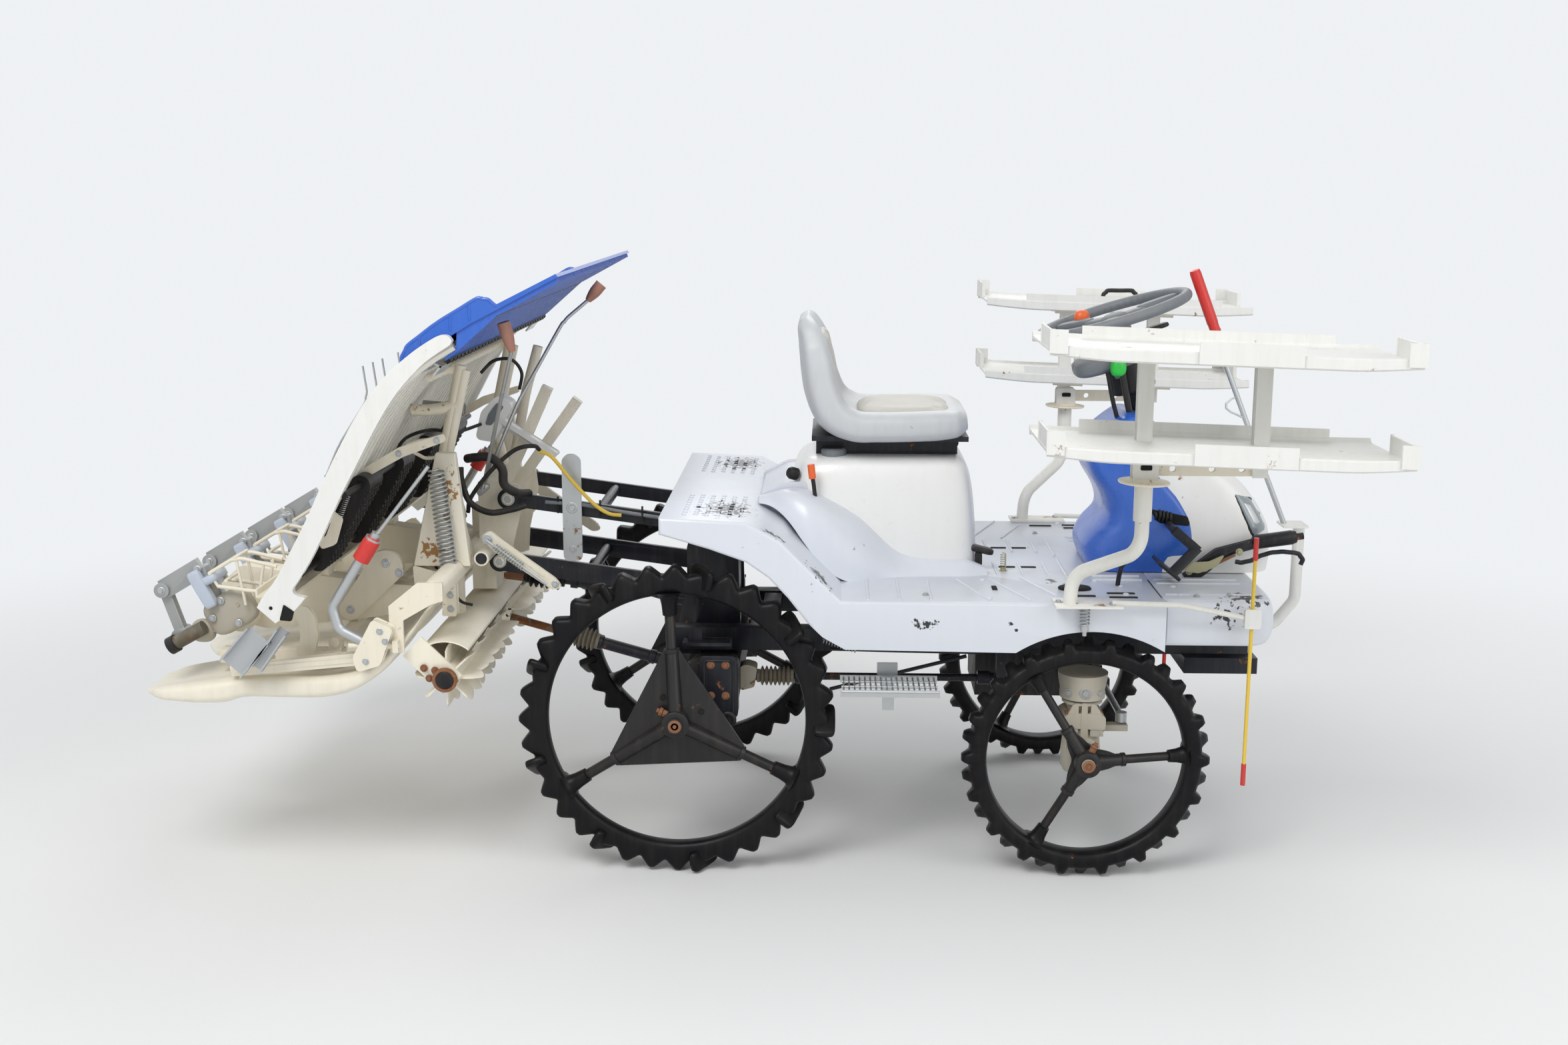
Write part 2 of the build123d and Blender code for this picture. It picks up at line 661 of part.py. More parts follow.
def tray(z):
    """A seedling tray: a sheet floor with two long flanges and upturned ends."""
    floor = block(tray_x, tray_y, (z, z + tray_sheet))
    stops = (tray_x[0] + 40, rack_x[0] - 24, rack_x[0] + 24, rack_x[1] - 24, rack_x[1] + 24, tray_x[1] - 40)
    for x0, x1 in zip(stops[::2], stops[1::2]):
        floor -= block((x0, x1), (tray_y[0] + 60, tray_y[1] - 60), (z - 1, z + 10))
    floor += block((tray_x[0] + 80, tray_x[1] - 120), (tray_y[1] - tray_sheet, tray_y[1]), (z, z + flange))
    inner_flange_y = (tray_y[0], tray_y[0] + tray_sheet)
    floor += block((tray_x[0] + 290, tray_x[1] - 210), inner_flange_y, (z - flange / 2, z + flange))
    for x0 in (tray_x[0], tray_x[1] - tray_sheet):
        floor += block((x0, x0 + tray_sheet), (tray_y[0] + 40, tray_y[1] - 40), (z, z + 34))
    return floor


rack_y = post_top[1]
rack = upright(post_top[0], rack_y, 900.0, 985.0, 20.0)
rack += upright(post_top[0], rack_y, sleeve_z[1] + fit_gap, sleeve_z[1] + 8, 2 * disc_r)
rack_web_z = (972.0, 1000.0)
rack += block((rack_x[0], rack_x[1] + square / 2), (rack_y - 4, rack_y + 4), rack_web_z)
for x, foot in zip(rack_x, (sleeve_z[1] + 4, rack_web_z[0])):
    square_y = (rack_y - square / 2, rack_y + square / 2)
    rack += block((x - square / 2, x + square / 2), square_y, (foot, tray_z[1]))
for z in tray_z:
    rack += tray(z)
save("rack_right", rack)
save("rack_left", mirror(rack, about=Plane.XZ))

# Front guard with its plate, and the centre marker pole
guard_x = frame_front + 161.0
guard_line = [(frame_front + 4, 0, 484.0), (guard_x - 51, 0, 484.0), (guard_x, 0, 550), (guard_x, 0, 735)]
guard_tube = bent_tube(guard_line, 28.0, 40.0)
guard_tube += block((guard_x - 46, guard_x + 14), (-34, 34), (735.0, 741.0))
guard_plate_x = (frame_front + fit_gap, frame_front + 8)
guard_tube += block(guard_plate_x, (-rail_y - 20, rail_y + 20), (rail_z[0] + 4, rail_z[1]))
save("front_guard", guard_tube)
pole_foot = (guard_x - 36, 0.0, 735.0)
pole_top = (guard_x - 285.0, 0.0, 1352.0)
pole_bend = (guard_x - 201.0, 0.0, 1135.0)
pole_sleeve = (guard_x - 229.0, 0.0, 1214.0)
pole = bar(pole_foot, pole_bend, 10.0) + bar(pole_bend, pole_sleeve, 10.0) + bar(pole_sleeve, pole_top, 26.0)
pole -= block((guard_x - 100, guard_x + 100), (-40, 40), (600, 741.0 + fit_gap))
save("marker_pole", pole)

# Assist handle and brake pedal beside the hood
arm_y = -196.0
arm_x = deck_front - 150.0
arm_bend = (deck_front + 27.0, 728.0)
handle = beam((arm_x, floor_top + 20), arm_bend, 12.0, 26.0, arm_y)
handle += bar((arm_bend[0] - 6, arm_y, arm_bend[1]), (arm_bend[0] + 108, arm_y, arm_bend[1] + 14), 26.0)
handle += block((arm_x - 15, arm_x + 20), (arm_y - 12, arm_y + 12), (floor_top + fit_gap, floor_top + 24))
save("assist_handle", handle)
pedal_y = -240.0
pedal_x = cowl_split_x + 78.0
pedal = beam((pedal_x, 770), (pedal_x + 56, 722), 14.0, 22.0, pedal_y)
pedal += beam((pedal_x + 56, 730), (pedal_x - 2, 666), 14.0, 22.0, pedal_y)
pedal += beam((pedal_x - 40, 700), (pedal_x + 10, 660), 84.0, 8.0, pedal_y)
pedal += across(pedal_x, 770, pedal_y, -cowl_half - fit_gap, 18.0)
save("brake_pedal", pedal)

# Hand lever at the engine cover
cover_lever = bar((300, -cover_half - 12, 815), (296, -cover_half - 14, 880), 9.0)
cover_lever += bar((296, -cover_half - 14, 880), (292, -cover_half - 14, 914), 24.0)
cover_lever += bar((300, -cover_half - fit_gap, 815), (300, -cover_half - 16, 815), 14.0)
save("hand_levers", cover_lever)

# Side steps below the floor
step_y = -430.0
step = block((371, 590), (step_y - 60, step_y + 60), (446, 452))
step += side_slab([(440, 449), (520, 449), (500, 500), (460, 500)], step_y + 50, step_y + 58)
step += block((460, 500), (step_y + 50, -rail_y - rail_w / 2 - fit_gap), (492, 500))
save("side_steps", *both_sides(step))

# Lift links to the planter: two lower and two upper, equal and parallel
link_run = 485.0
link_rise = 65.0
lower_rear = (pivot_x - link_run, lower_pivot_z + link_rise)
upper_rear = (upper_pivot[0] - link_run, upper_pivot[1] + link_rise)
link_t = 12.0
eye_d = 50.0


def link_pair(front, rear, depth):
    """Two flat links with eyes at both ends, joined by a cross tube."""
    pair = None
    for sign in (-1, 1):
        y = sign * link_y
        one = beam(front, rear, link_t, depth, y)
        for x, z in (front, rear):
            one += across(x, z, y - link_t / 2 - 4, y + link_t / 2 + 4, eye_d)
        pair = one if pair is None else pair + one
    mid_x = front[0] + (rear[0] - front[0]) * 0.55
    mid_z = front[1] + (rear[1] - front[1]) * 0.55
    pair += across(mid_x, mid_z, -link_y, link_y, 26.0)
    for x, z in (front, rear):
        pair -= across(x, z, -link_y - 40, link_y + 40, pin_d + 2 * shaft_gap)
    return pair


lower_link = link_pair((pivot_x, lower_pivot_z), lower_rear, 46.0)
upper_link = link_pair(upper_pivot, upper_rear, 34.0)
rod_eye = (pivot_x - 255.0, lower_pivot_z)
cross_x = pivot_x - link_run * 0.55
cross_z = lower_pivot_z + link_rise * 0.55
eye_half = 12.0
for sign in (-1, 1):
    low, high = sorted((sign * (eye_half + 2), sign * (eye_half + 10)))
    lug_top = [(cross_x - 12, cross_z), (cross_x + 12, cross_z)]
    lug_foot = [(rod_eye[0] + dx, rod_eye[1] + dz) for dx, dz in ((16, 0), (8, -16), (-8, -16), (-16, 0))]
    lug = side_slab(lug_top + lug_foot, low, high)
    lower_link += lug - across(rod_eye[0], rod_eye[1], low - 1, high + 1, 16.0)
save("lower_links", lower_link)
save("upper_links", upper_link)

# Lift cylinder between the mast's foot and the lower links
foot, eye = Vector(cylinder_foot[0], 0, cylinder_foot[1]), Vector(rod_eye[0], 0, rod_eye[1])
along = (eye - foot).normalized()
barrel_long = 170.0
barrel_d = 44.0
piston_d = 22.0


def on_cylinder(distance):
    """The point this far from the cylinder's foot towards its eye."""
    return tuple(foot + along * distance)


barrel = across(*cylinder_foot, -14, 14, barrel_d) + bar(on_cylinder(10), on_cylinder(barrel_long), barrel_d)
barrel -= across(*cylinder_foot, -20, 20, 20.0 + 2 * shaft_gap)
barrel -= bar(on_cylinder(30), on_cylinder(barrel_long + 1), piston_d + 2 * shaft_gap)
save("cylinder_barrel", barrel)
eye_reach = (eye - foot).length
piston = bar(on_cylinder(112), on_cylinder(eye_reach - 14), piston_d)
piston += across(*rod_eye, -eye_half, eye_half, 34.0)
piston -= across(*rod_eye, -20, 20, 16.0)
save("cylinder_rod", piston)

# Planter frame, carried at the rear ends of the links
hitch_y = link_y - 30.0
hitch_outline = [
    (lower_rear[0] - 40, lower_rear[1] - 50),
    (lower_rear[0] + 22, lower_rear[1] - 30),
    (lower_rear[0] + 26, lower_rear[1] + 30),
    (upper_rear[0] + 26, upper_rear[1] - 20),
    (upper_rear[0] + 20, upper_rear[1] + 28),
    (upper_rear[0] - 60, upper_rear[1] + 40),
]
beam_x, beam_z = -510.0, 690.0
beam_d = 50.0
beam_half = 580.0
planter = across(beam_x, beam_z, -beam_half, beam_half, beam_d)
for sign in (-1, 1):
    y0, y1 = sorted((sign * (hitch_y - 10), sign * hitch_y))
    planter += side_slab(hitch_outline, y0, y1)
    for x, z in (lower_rear, upper_rear):
        p0, p1 = sorted((sign * (hitch_y - 5), sign * (link_y + 14)))
        planter += across(x, z, p0, p1, pin_d)
planter += block((-500, -460), (-hitch_y, hitch_y), (beam_z, 850))
for y, foot_at, top_at in ((-88.0, (-472, 770), (-331, 1077)), (-30.0, (-480, 750), (-268, 1040))):
    planter += beam(foot_at, top_at, 26.0, 26.0, y)
for y in (-300.0, 300.0):
    planter += bent_tube([(-484, y, beam_z), (-540, y, 935), (-492, y, 1150)], 26.0, 60.0)
    planter += block((-530, -490), (y - 6, y + 6), (1131, 1147))
planter += across(-524, 1139, -470, 470, 16.0)
planter += block((-520, -462), (-118, -45), (588, beam_z))
save("planter_frame", planter)

# Planting cases and arms
case_outline = [
    (-545, 640), (-700, 650), (-1010, 690), (-1066, 640), (-1040, 560), (-960, 540), (-700, 570), (-545, 600),
]
cover_top_at, cover_top_r = (-672.0, 690.0), 40.0
cover_foot_at, cover_foot_r = (-757.0, 590.0), 25.0
cases = []
for y in (-300.0, 300.0):
    one = side_slab(case_outline, y - 30, y + 30, corner=20)
    y_in, y_out = sorted((y + (28 if y > 0 else -28), y + (44 if y > 0 else -44)))
    one += strap(cover_top_at, cover_top_r, cover_foot_at, cover_foot_r, y_in, y_out)
    one += across(-1010, 585, y - 62, y + 62, 90.0)
    saddle = block((-600, -528), (y - 30, y + 30), (640, 720))
    one += saddle - across(beam_x, beam_z, y - 40, y + 40, beam_d + 2 * fit_gap)
    cases.append(one)
save("planting_cases", *cases)

arms = []
for k in range(row_count):
    y = (k - (row_count - 1) / 2) * row_pitch
    side = 1 if y > 0 else -1
    inner = abs(y) < 200
    case_face = side * (300 - 62 - fit_gap) if inner else side * (300 + 62 + fit_gap)
    arm = across(-1010, 585, min(case_face, y), max(case_face, y), 30.0)
    arm += beam((-1010, 585), (-1108, 556), 22.0, 26.0, y)
    arm += across(-1108, 556, y - 24, y + 24, 38.0)
    arm += beam((-1108, 556), (-1142, 662), 20.0, 24.0, y)
    arm += across(-1142, 662, y - 24, y + 24, 34.0)
    arm += beam((-1142, 662), (-1058, 712), 30.0, 44.0, y)
    arm += beam((-1058, 712), (-1030, 610), 34.0, 30.0, y)
    arms.append(arm)
save("planting_arms", *arms)

# Floats: one wide in the middle and one narrow on each side
float_low = 425.0
float_line = [
    (-1165, 440),
    (-1110, float_low),
    (-990, float_low),
    (-960, float_low + 14),
    (-760, float_low + 10),
    (-690, float_low + 34),
    (-600, 520),
    (-532, 628),
    (-556, 640),
    (-640, 540),
    (-720, 490),
    (-800, 470),
    (-1060, 470),
    (-1110, 456),
]
floats = []
for low, high in ((-570.0, -345.0), (-230.0, 230.0), (345.0, 570.0)):
    floats.append(side_slab(float_line, low, high))
stay_z = (496.0, 526.0)
depth_bar = (-760.0, 546.0)
float_stays = across(*depth_bar, -470, 470, 22.0)
for y in (-450.0, 0.0, 450.0):
    float_stays += block((-1020, -745), (y - 20, y + 20), stay_z)
    float_stays += block((-900, -870), (y - 12, y + 12), (470 + fit_gap, stay_z[0] + 2))
    float_stays += block((-776, -748), (y - 12, y + 12), (stay_z[1] - 2, depth_bar[1]))
for y in (-300.0, 300.0):
    float_stays += block((-772, -748), (y - 12, y + 12), (depth_bar[1], depth_bar[1] + 15.3))
save("floats", *floats)
save("float_stays", float_stays)

# Seedling platform, its blue extension and the rail it slides on
platform_half = 645.0
outer_curve = [(-868, 690), (-640, 1078), (-554, 1179), (-461, 1245)]
inner_curve = [(-410, 1224), (-511, 1160), (-596, 1060), (-812, 690)]
rim_y = 16.0
bed_outer = [(-838, 690), (-620, 1064), (-536, 1158), (-440, 1226)]
bed_inner = [(-436, 1219), (-531, 1152), (-613, 1061), (-831, 690)]
platform = side_slab(bed_outer + bed_inner, -platform_half + 2, platform_half - 2)
for sign in (-1, 1):
    y0, y1 = sorted((sign * (platform_half - rim_y), sign * platform_half))
    platform += side_slab(outer_curve + inner_curve, y0, y1)
lane_wall = [(-864, 694), (-640, 1074), (-590, 1136), (-572, 1116), (-620, 1060), (-838, 692)]
for k in range(1, row_count):
    y = (k - row_count / 2) * row_pitch
    platform += side_slab(lane_wall, y - 6, y + 6)
save("platform", platform)
extension_y = (-platform_half + 20, platform_half - 20)
extension_top = [(-548, 1186), (-456, 1252), (-343, 1310), (-220, 1372)]
extension_under = [(-215, 1366), (-338, 1301), (-450, 1243), (-545, 1178)]
extension = side_slab(extension_top + extension_under, *extension_y)
extension += side_slab([(-547, 1182), (-544, 1149.5), (-541, 1152.85), (-543, 1182)], *extension_y)
for sign in (-1, 1):
    y0, y1 = sorted((sign * (platform_half - 24), sign * (platform_half - 20)))
    extension += side_slab([(-545, 1181), (-540, 1214), (-470, 1268), (-372, 1326), (-343, 1303)], y0, y1)
fin_pitch = 24.8
fin_t = 3.0
fin_half = platform_half - 26.0
low_fin = [(-456, 1199), (-451, 1194), (-441, 1201), (-337, 1293), (-341, 1300)]
low_fin += [(-428, 1256), (-430, 1222), (-435, 1213)]
high_fin = [(-356, 1292), (-350, 1286), (-340, 1288), (-215, 1356), (-219, 1365)]
fins = []
for fin_line in (low_fin, high_fin):
    fin = side_slab(fin_line, -fin_t / 2, fin_t / 2)
    for k in range(int(2 * fin_half / fin_pitch) + 1):
        fins.append(Pos(0, -fin_half + k * fin_pitch, 0) * fin)
extension += fins
extension_cut = side_slab(outer_curve + inner_curve, -platform_half - 1, -platform_half + rim_y + fit_gap)
extension -= extension_cut
extension -= mirror(extension_cut, about=Plane.XZ)
save("platform_extension", extension)

foot_z = 690.0
guide_x = (-876.0, -804.0)
guide_rail = block(guide_x, (-620, 620), (foot_z - 6, foot_z - fit_gap))
guide_rail += block((guide_x[0] - 4, guide_x[0]), (-620, 620), (foot_z - 6, foot_z + 12))
rail_shoe = [(-870, 672.6), (-810, 664.8), (-810, foot_z - 5), (-870, foot_z - 5)]
for y in (-300.0, 300.0):
    guide_rail += side_slab(rail_shoe, y - 24, y + 24)
save("guide_rail", guide_rail)

# Feed belts under the platform, on two rollers each
slope = Vector(218, 0, 370).normalized()
under = Vector(370, 0, -218).normalized()
belt_r = 22.0
belt_w = 110.0


def under_bed(share, depth):
    """A point this share of the way up the straight bed and this far below it."""
    point = Vector(-831, 0, 691) + slope * (429.5 * share) + under * depth
    return point.X, point.Z


belt_low, belt_high = under_bed(0.16, belt_r + 0.6), under_bed(0.62, belt_r + 0.6)
belts = []
for k in range(row_count):
    y = (k - (row_count - 1) / 2) * row_pitch
    belt = beam(belt_low, belt_high, belt_w, 2 * belt_r, y)
    for x, z in (belt_low, belt_high):
        belt += across(x, z, y - belt_w / 2, y + belt_w / 2, 2 * belt_r)
    belts.append(belt)
belt_shaft = across(*belt_low, -platform_half + rim_y + fit_gap, platform_half - rim_y - fit_gap, 14.0)
belt_shaft += across(*belt_high, -platform_half + rim_y + fit_gap, platform_half - rim_y - fit_gap, 14.0)
save("feed_belts", belt_shaft + belts)

# Levelling rotor: toothed reel in two halves under a curved cover
reel_x, reel_z = -491.0, 492.0
reel_r = 75.0
reel_gap = 60.0
reel_y = 556.0
vane_count = 8
vane_t = 5.0
vane_root_r = 20.0
scallop_depth = 13.0
scallop_count = 8


def scalloped_vane(y_low, y_high):
    """A vane in the plane of X and Y whose outer edge runs in equal arcs."""
    step = (y_high - y_low) / scallop_count
    low_r = reel_r - scallop_depth
    edge = []
    for k in range(scallop_count):
        y = y_low + k * step
        edge.append(ThreePointArc((low_r, y), (reel_r, y + step / 2), (low_r, y + step)))
    edge.append(Polyline((low_r, y_high), (vane_root_r, y_high), (vane_root_r, y_low), (low_r, y_low)))
    return Pos(0, 0, -vane_t / 2) * extrude(make_face(edge), amount=vane_t, dir=(0, 0, 1))


reel = across(0, 0, -reel_y - 10, reel_y + 10, 30.0)
for sign in (-1, 1):
    y0, y1 = sorted((sign * reel_gap, sign * reel_y))
    vane = scalloped_vane(y0, y1)
    reel += [across(0, 0, y0, y1, 56.0)]
    reel += [Rot(0, -k * 360 / vane_count, 0) * vane for k in range(vane_count)]
reel = Pos(reel_x, 0, reel_z) * reel
save("rotor_reel", reel)
cover_r = 82.0
cover_end = reel_y + 7.0
cover_shell = across(reel_x, reel_z, -cover_end, cover_end, 2 * (cover_r + 3))
cover_shell -= across(reel_x, reel_z, -cover_end - 1, cover_end + 1, 2 * cover_r)
cover_shell &= Pos(reel_x, 0, reel_z) * Rot(0, -100, 0) * block((0, 200), (-cover_end, cover_end), (-62, 62))
for sign in (-1, 1):
    y0, y1 = sorted((sign * (reel_y + 1), sign * cover_end))
    plate = beam((reel_x + 14, reel_z - 14), (reel_x - 72, reel_z + 72), 6.0, 60.0, (y0 + y1) / 2)
    cover_shell += plate - across(reel_x, reel_z, y0 - 1, y1 + 1, 30.0 + 2 * shaft_gap)
for y in (-300.0, 300.0):
    cover_shell += block(
        (beam_x - 8, beam_x + 8), (y - 12, y + 12), (reel_z + cover_r - 1, beam_z - beam_d / 2 - fit_gap)
    )
save("rotor_cover", cover_shell)

# Side plates of the planter
plate_y = (-372.0, -348.0)
plate_line = [(beam_x - 31, 960), (beam_x + 13, 960), (beam_x + 40, 700), (beam_x - 90, 700)]
side_plate = side_slab(plate_line, *plate_y)
side_plate -= across(beam_x, beam_z, plate_y[0] - 1, plate_y[1] + 1, beam_d + 2 * fit_gap)
save("side_plates", *both_sides(side_plate))

# Line markers folded up at the planter's sides
marker_y = -beam_half - 20.0
marker = bent_tube(
    [(-640, marker_y, 575), (-710, marker_y, 612), (-722, marker_y, 660), (-653, marker_y, 770)], 22.0, 26.0,
)
marker += bar((-655, marker_y, 766), (-626, marker_y, 812), 34.0)
marker += bar((-628, marker_y, 808), (-503, marker_y, 967), 8.0)
marker += bar((-656, marker_y, 575), (-612, marker_y, 575), 30.0)
marker -= bar((-700, marker_y, 575), (-600, marker_y, 575), 12.0 + 2 * shaft_gap)
save("marker_right", marker)
save("marker_left", mirror(marker, about=Plane.XZ))
bracket_y = (-beam_half - 8, -beam_half - fit_gap)
bracket = bar((-690, marker_y, 575), (-580, marker_y, 575), 12.0)
bracket += block((-594, -582), (marker_y - 8, bracket_y[1]), (562, 588))
bracket_foot = [(-604, 556), (-574, 556), (-574, 628), (-512, 664)]
bracket_top = [(-486, 672), (-486, 712), (-540, 712), (-604, 660)]
bracket += side_slab(bracket_foot + bracket_top, *bracket_y)
save("marker_brackets", *both_sides(bracket))

# Drive shaft to the planter, with its rubber boot
pto_rear = (-448.0, -80.0, 621.0)
shaft_start, shaft_end = Vector(*pto_front), Vector(*pto_rear)
shaft_dir = (shaft_end - shaft_start).normalized()


def on_shaft(distance):
    """The point this far down the drive shaft from its front joint."""
    return tuple(shaft_start + shaft_dir * distance)


pto = across(pto_front[0], pto_front[2], pto_front[1] - 15, pto_front[1] + 15, 40.0)
pto += bar(on_shaft(12), on_shaft(330), 28.0)
for k in range(6):
    pto += bar(on_shaft(320 + k * 13), on_shaft(329 + k * 13), 50.0)
    pto += bar(on_shaft(326 + k * 13), on_shaft(335 + k * 13), 36.0)
pto += bar(on_shaft(390), on_shaft(496), 22.0)
pto -= across(pto_front[0], pto_front[2], -200, 200, 16.0 + 2 * shaft_gap)
save("planter_shaft", pto)

# Telescopic drive shaft to the levelling rotor
spin_rear = (reel_x + 34, 0.0, reel_z - 4)
spin_start, spin_end = Vector(*spin_front), Vector(*spin_rear)
spin_dir = (spin_end - spin_start).normalized()
spin_reach = (spin_end - spin_start).length


def on_spin(distance):
    """The point this far down the rotor's shaft from its front joint."""
    return tuple(spin_start + spin_dir * distance)


spin_tube = across(spin_front[0], spin_front[2], -14, 14, 38.0) + bar(on_spin(12), on_spin(240), 30.0)
for k in range(7):
    spin_tube += bar(on_spin(190 + k * 13), on_spin(199 + k * 13), 54.0)
spin_tube += bar(on_spin(195), on_spin(280), 40.0)
spin_tube -= across(spin_front[0], spin_front[2], -30, 30, spin_pin_d + 2 * shaft_gap)
spin_tube -= bar(on_spin(60), on_spin(400), 20.0 + 2 * shaft_gap)
save("rotor_shaft_tube", spin_tube)
spin_rod = bar(on_spin(140), on_spin(spin_reach - 4), 20.0)
save("rotor_shaft_rod", spin_rod)

# Controls on the planter: switch box and two grip levers
grips = []
rod_d = 10.0
grip_d = 18.0
for foot_y, elbow, grip_foot, grip_top in (
    (-172.0, (-366, -470, 1110), (-326, -556, 1212), (-342, -562, 1268)),
    (-196.0, (-384, -190, 1053), (-219, -152, 1289), (-190, -148, 1324)),
):
    lever = bar((-478, foot_y, 840), elbow, rod_d) + bar(elbow, grip_foot, rod_d)
    grips.append(lever + bar(grip_foot, grip_top, grip_d))
lever_pin = across(-478, 840, -204, -hitch_y - fit_gap, 16.0)
control_box = block((-455, -400), (-74.7, -10), (915, 985))
save("grip_levers", lever_pin + grips, control_box)
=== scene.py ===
import bmesh
import bpy
import json
import numpy as np
from math import pi, radians, sin, cos
from mathutils import Matrix, Vector

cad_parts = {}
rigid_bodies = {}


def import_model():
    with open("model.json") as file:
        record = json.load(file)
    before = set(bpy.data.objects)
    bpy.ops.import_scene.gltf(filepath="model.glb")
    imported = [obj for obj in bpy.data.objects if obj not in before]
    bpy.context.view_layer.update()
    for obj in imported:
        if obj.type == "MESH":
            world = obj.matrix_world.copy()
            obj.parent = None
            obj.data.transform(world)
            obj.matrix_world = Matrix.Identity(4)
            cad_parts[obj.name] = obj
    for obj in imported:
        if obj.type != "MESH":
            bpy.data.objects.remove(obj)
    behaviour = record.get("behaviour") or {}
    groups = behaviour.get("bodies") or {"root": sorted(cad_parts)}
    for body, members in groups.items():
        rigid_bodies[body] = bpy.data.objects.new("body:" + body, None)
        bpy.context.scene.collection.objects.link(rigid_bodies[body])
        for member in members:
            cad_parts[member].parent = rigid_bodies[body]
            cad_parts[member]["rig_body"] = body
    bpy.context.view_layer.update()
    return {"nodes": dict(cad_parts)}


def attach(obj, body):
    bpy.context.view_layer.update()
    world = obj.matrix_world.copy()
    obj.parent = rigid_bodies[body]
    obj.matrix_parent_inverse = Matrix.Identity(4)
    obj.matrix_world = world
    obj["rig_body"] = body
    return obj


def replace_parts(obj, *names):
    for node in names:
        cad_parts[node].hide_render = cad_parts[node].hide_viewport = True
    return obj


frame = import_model()
nodes = frame["nodes"]
originAhead = 170.0      # mm from the rear axle to the origin, as in the solids
bothSides = ((-1, "right"), (1, "left"))      # the machine's right side is the one in the photograph
laneMiddles = (-450.0, -150.0, 150.0, 450.0)  # y of the four rows
print("frame loaded:", len(nodes), "nodes")

# Camera, fitted to the photograph


def addObject(name, data):
    # an object with this data, put into the scene
    made = bpy.data.objects.new(name, data)
    bpy.context.scene.collection.objects.link(made)
    return made


cameraView = {"place": (0.177, -4.146, 1.557), "lens": 39.37, "left": 0.028, "down": 0.196, "roll": 0.002}
cameraData = bpy.data.cameras.new("camera")
cameraData.lens = cameraView["lens"]
cameraData.sensor_width = 36.0
cameraData.clip_end = 60.0
camera = addObject("camera", cameraData)
camera.matrix_world = (
    Matrix.Translation(cameraView["place"])
    @ Matrix.Rotation(cameraView["left"], 4, "Z")
    @ Matrix.Rotation(pi / 2 - cameraView["down"], 4, "X")
    @ Matrix.Rotation(cameraView["roll"], 4, "Z")
)
bpy.context.scene.camera = camera

# Shared shader groups


def newGroup(name, inputs, outputs):
    # an empty node group with named sockets
    group = bpy.data.node_groups.new(name, "ShaderNodeTree")
    for label, kind, value in inputs:
        socket = group.interface.new_socket(label, in_out="INPUT", socket_type="NodeSocket" + kind)
        socket.default_value = value
    for label, kind in outputs:
        group.interface.new_socket(label, in_out="OUTPUT", socket_type="NodeSocket" + kind)
    start = group.nodes.new("NodeGroupInput")
    end = group.nodes.new("NodeGroupOutput")
    return group, start, end


def addNode(tree, kind, settings=None, **links):
    # one node with its settings, and links or values for its inputs by name
    made = tree.nodes.new(kind)
    for key, value in (settings or {}).items():
        setattr(made, key, value)
    for key, value in links.items():
        socket = made.inputs[int(key[1:])] if key[0] == "i" and key[1:].isdigit() else made.inputs[key]
        if isinstance(value, bpy.types.NodeSocket):
            tree.links.new(value, socket)
        else:
            socket.default_value = value
    return made


def addMath(tree, operation, first, second=0.0, clamp=False):
    # first and second joined by the operation, held between 0 and 1 with clamp
    made = addNode(tree, "ShaderNodeMath", {"operation": operation, "use_clamp": clamp}, i0=first, i1=second)
    return made.outputs[0]


def addMix(tree, share, first, second):
    # first x (1 - share) + second x share, as colours
    made = addNode(tree, "ShaderNodeMix", {"data_type": "RGBA"}, i0=share, i6=first, i7=second)
    return made.outputs[2]


def addRange(tree, value, low, high, newLow=0.0, newHigh=1.0):
    # the value's place between low and high, carried over to the new range
    made = addNode(tree, "ShaderNodeMapRange", None, i0=value, i1=low, i2=high, i3=newLow, i4=newHigh)
    return made.outputs[0]


def addNoise(tree, place, scale, detail=4.0, rough=0.55):
    # noise in space, scale = waves per metre
    made = addNode(tree, "ShaderNodeTexNoise", None, Vector=place, Scale=scale, Detail=detail, Roughness=rough)
    return made.outputs["Fac"]


weatherLook = {"clouds": 5.0, "fine": 46.0, "broad": 11.0, "streak": (60.0, 60.0, 5.0), "rustLimit": (1.16, 0.72),
               "rustEdge": 14.0, "deepRust": (0.32, 0.13, 0.045, 1)}


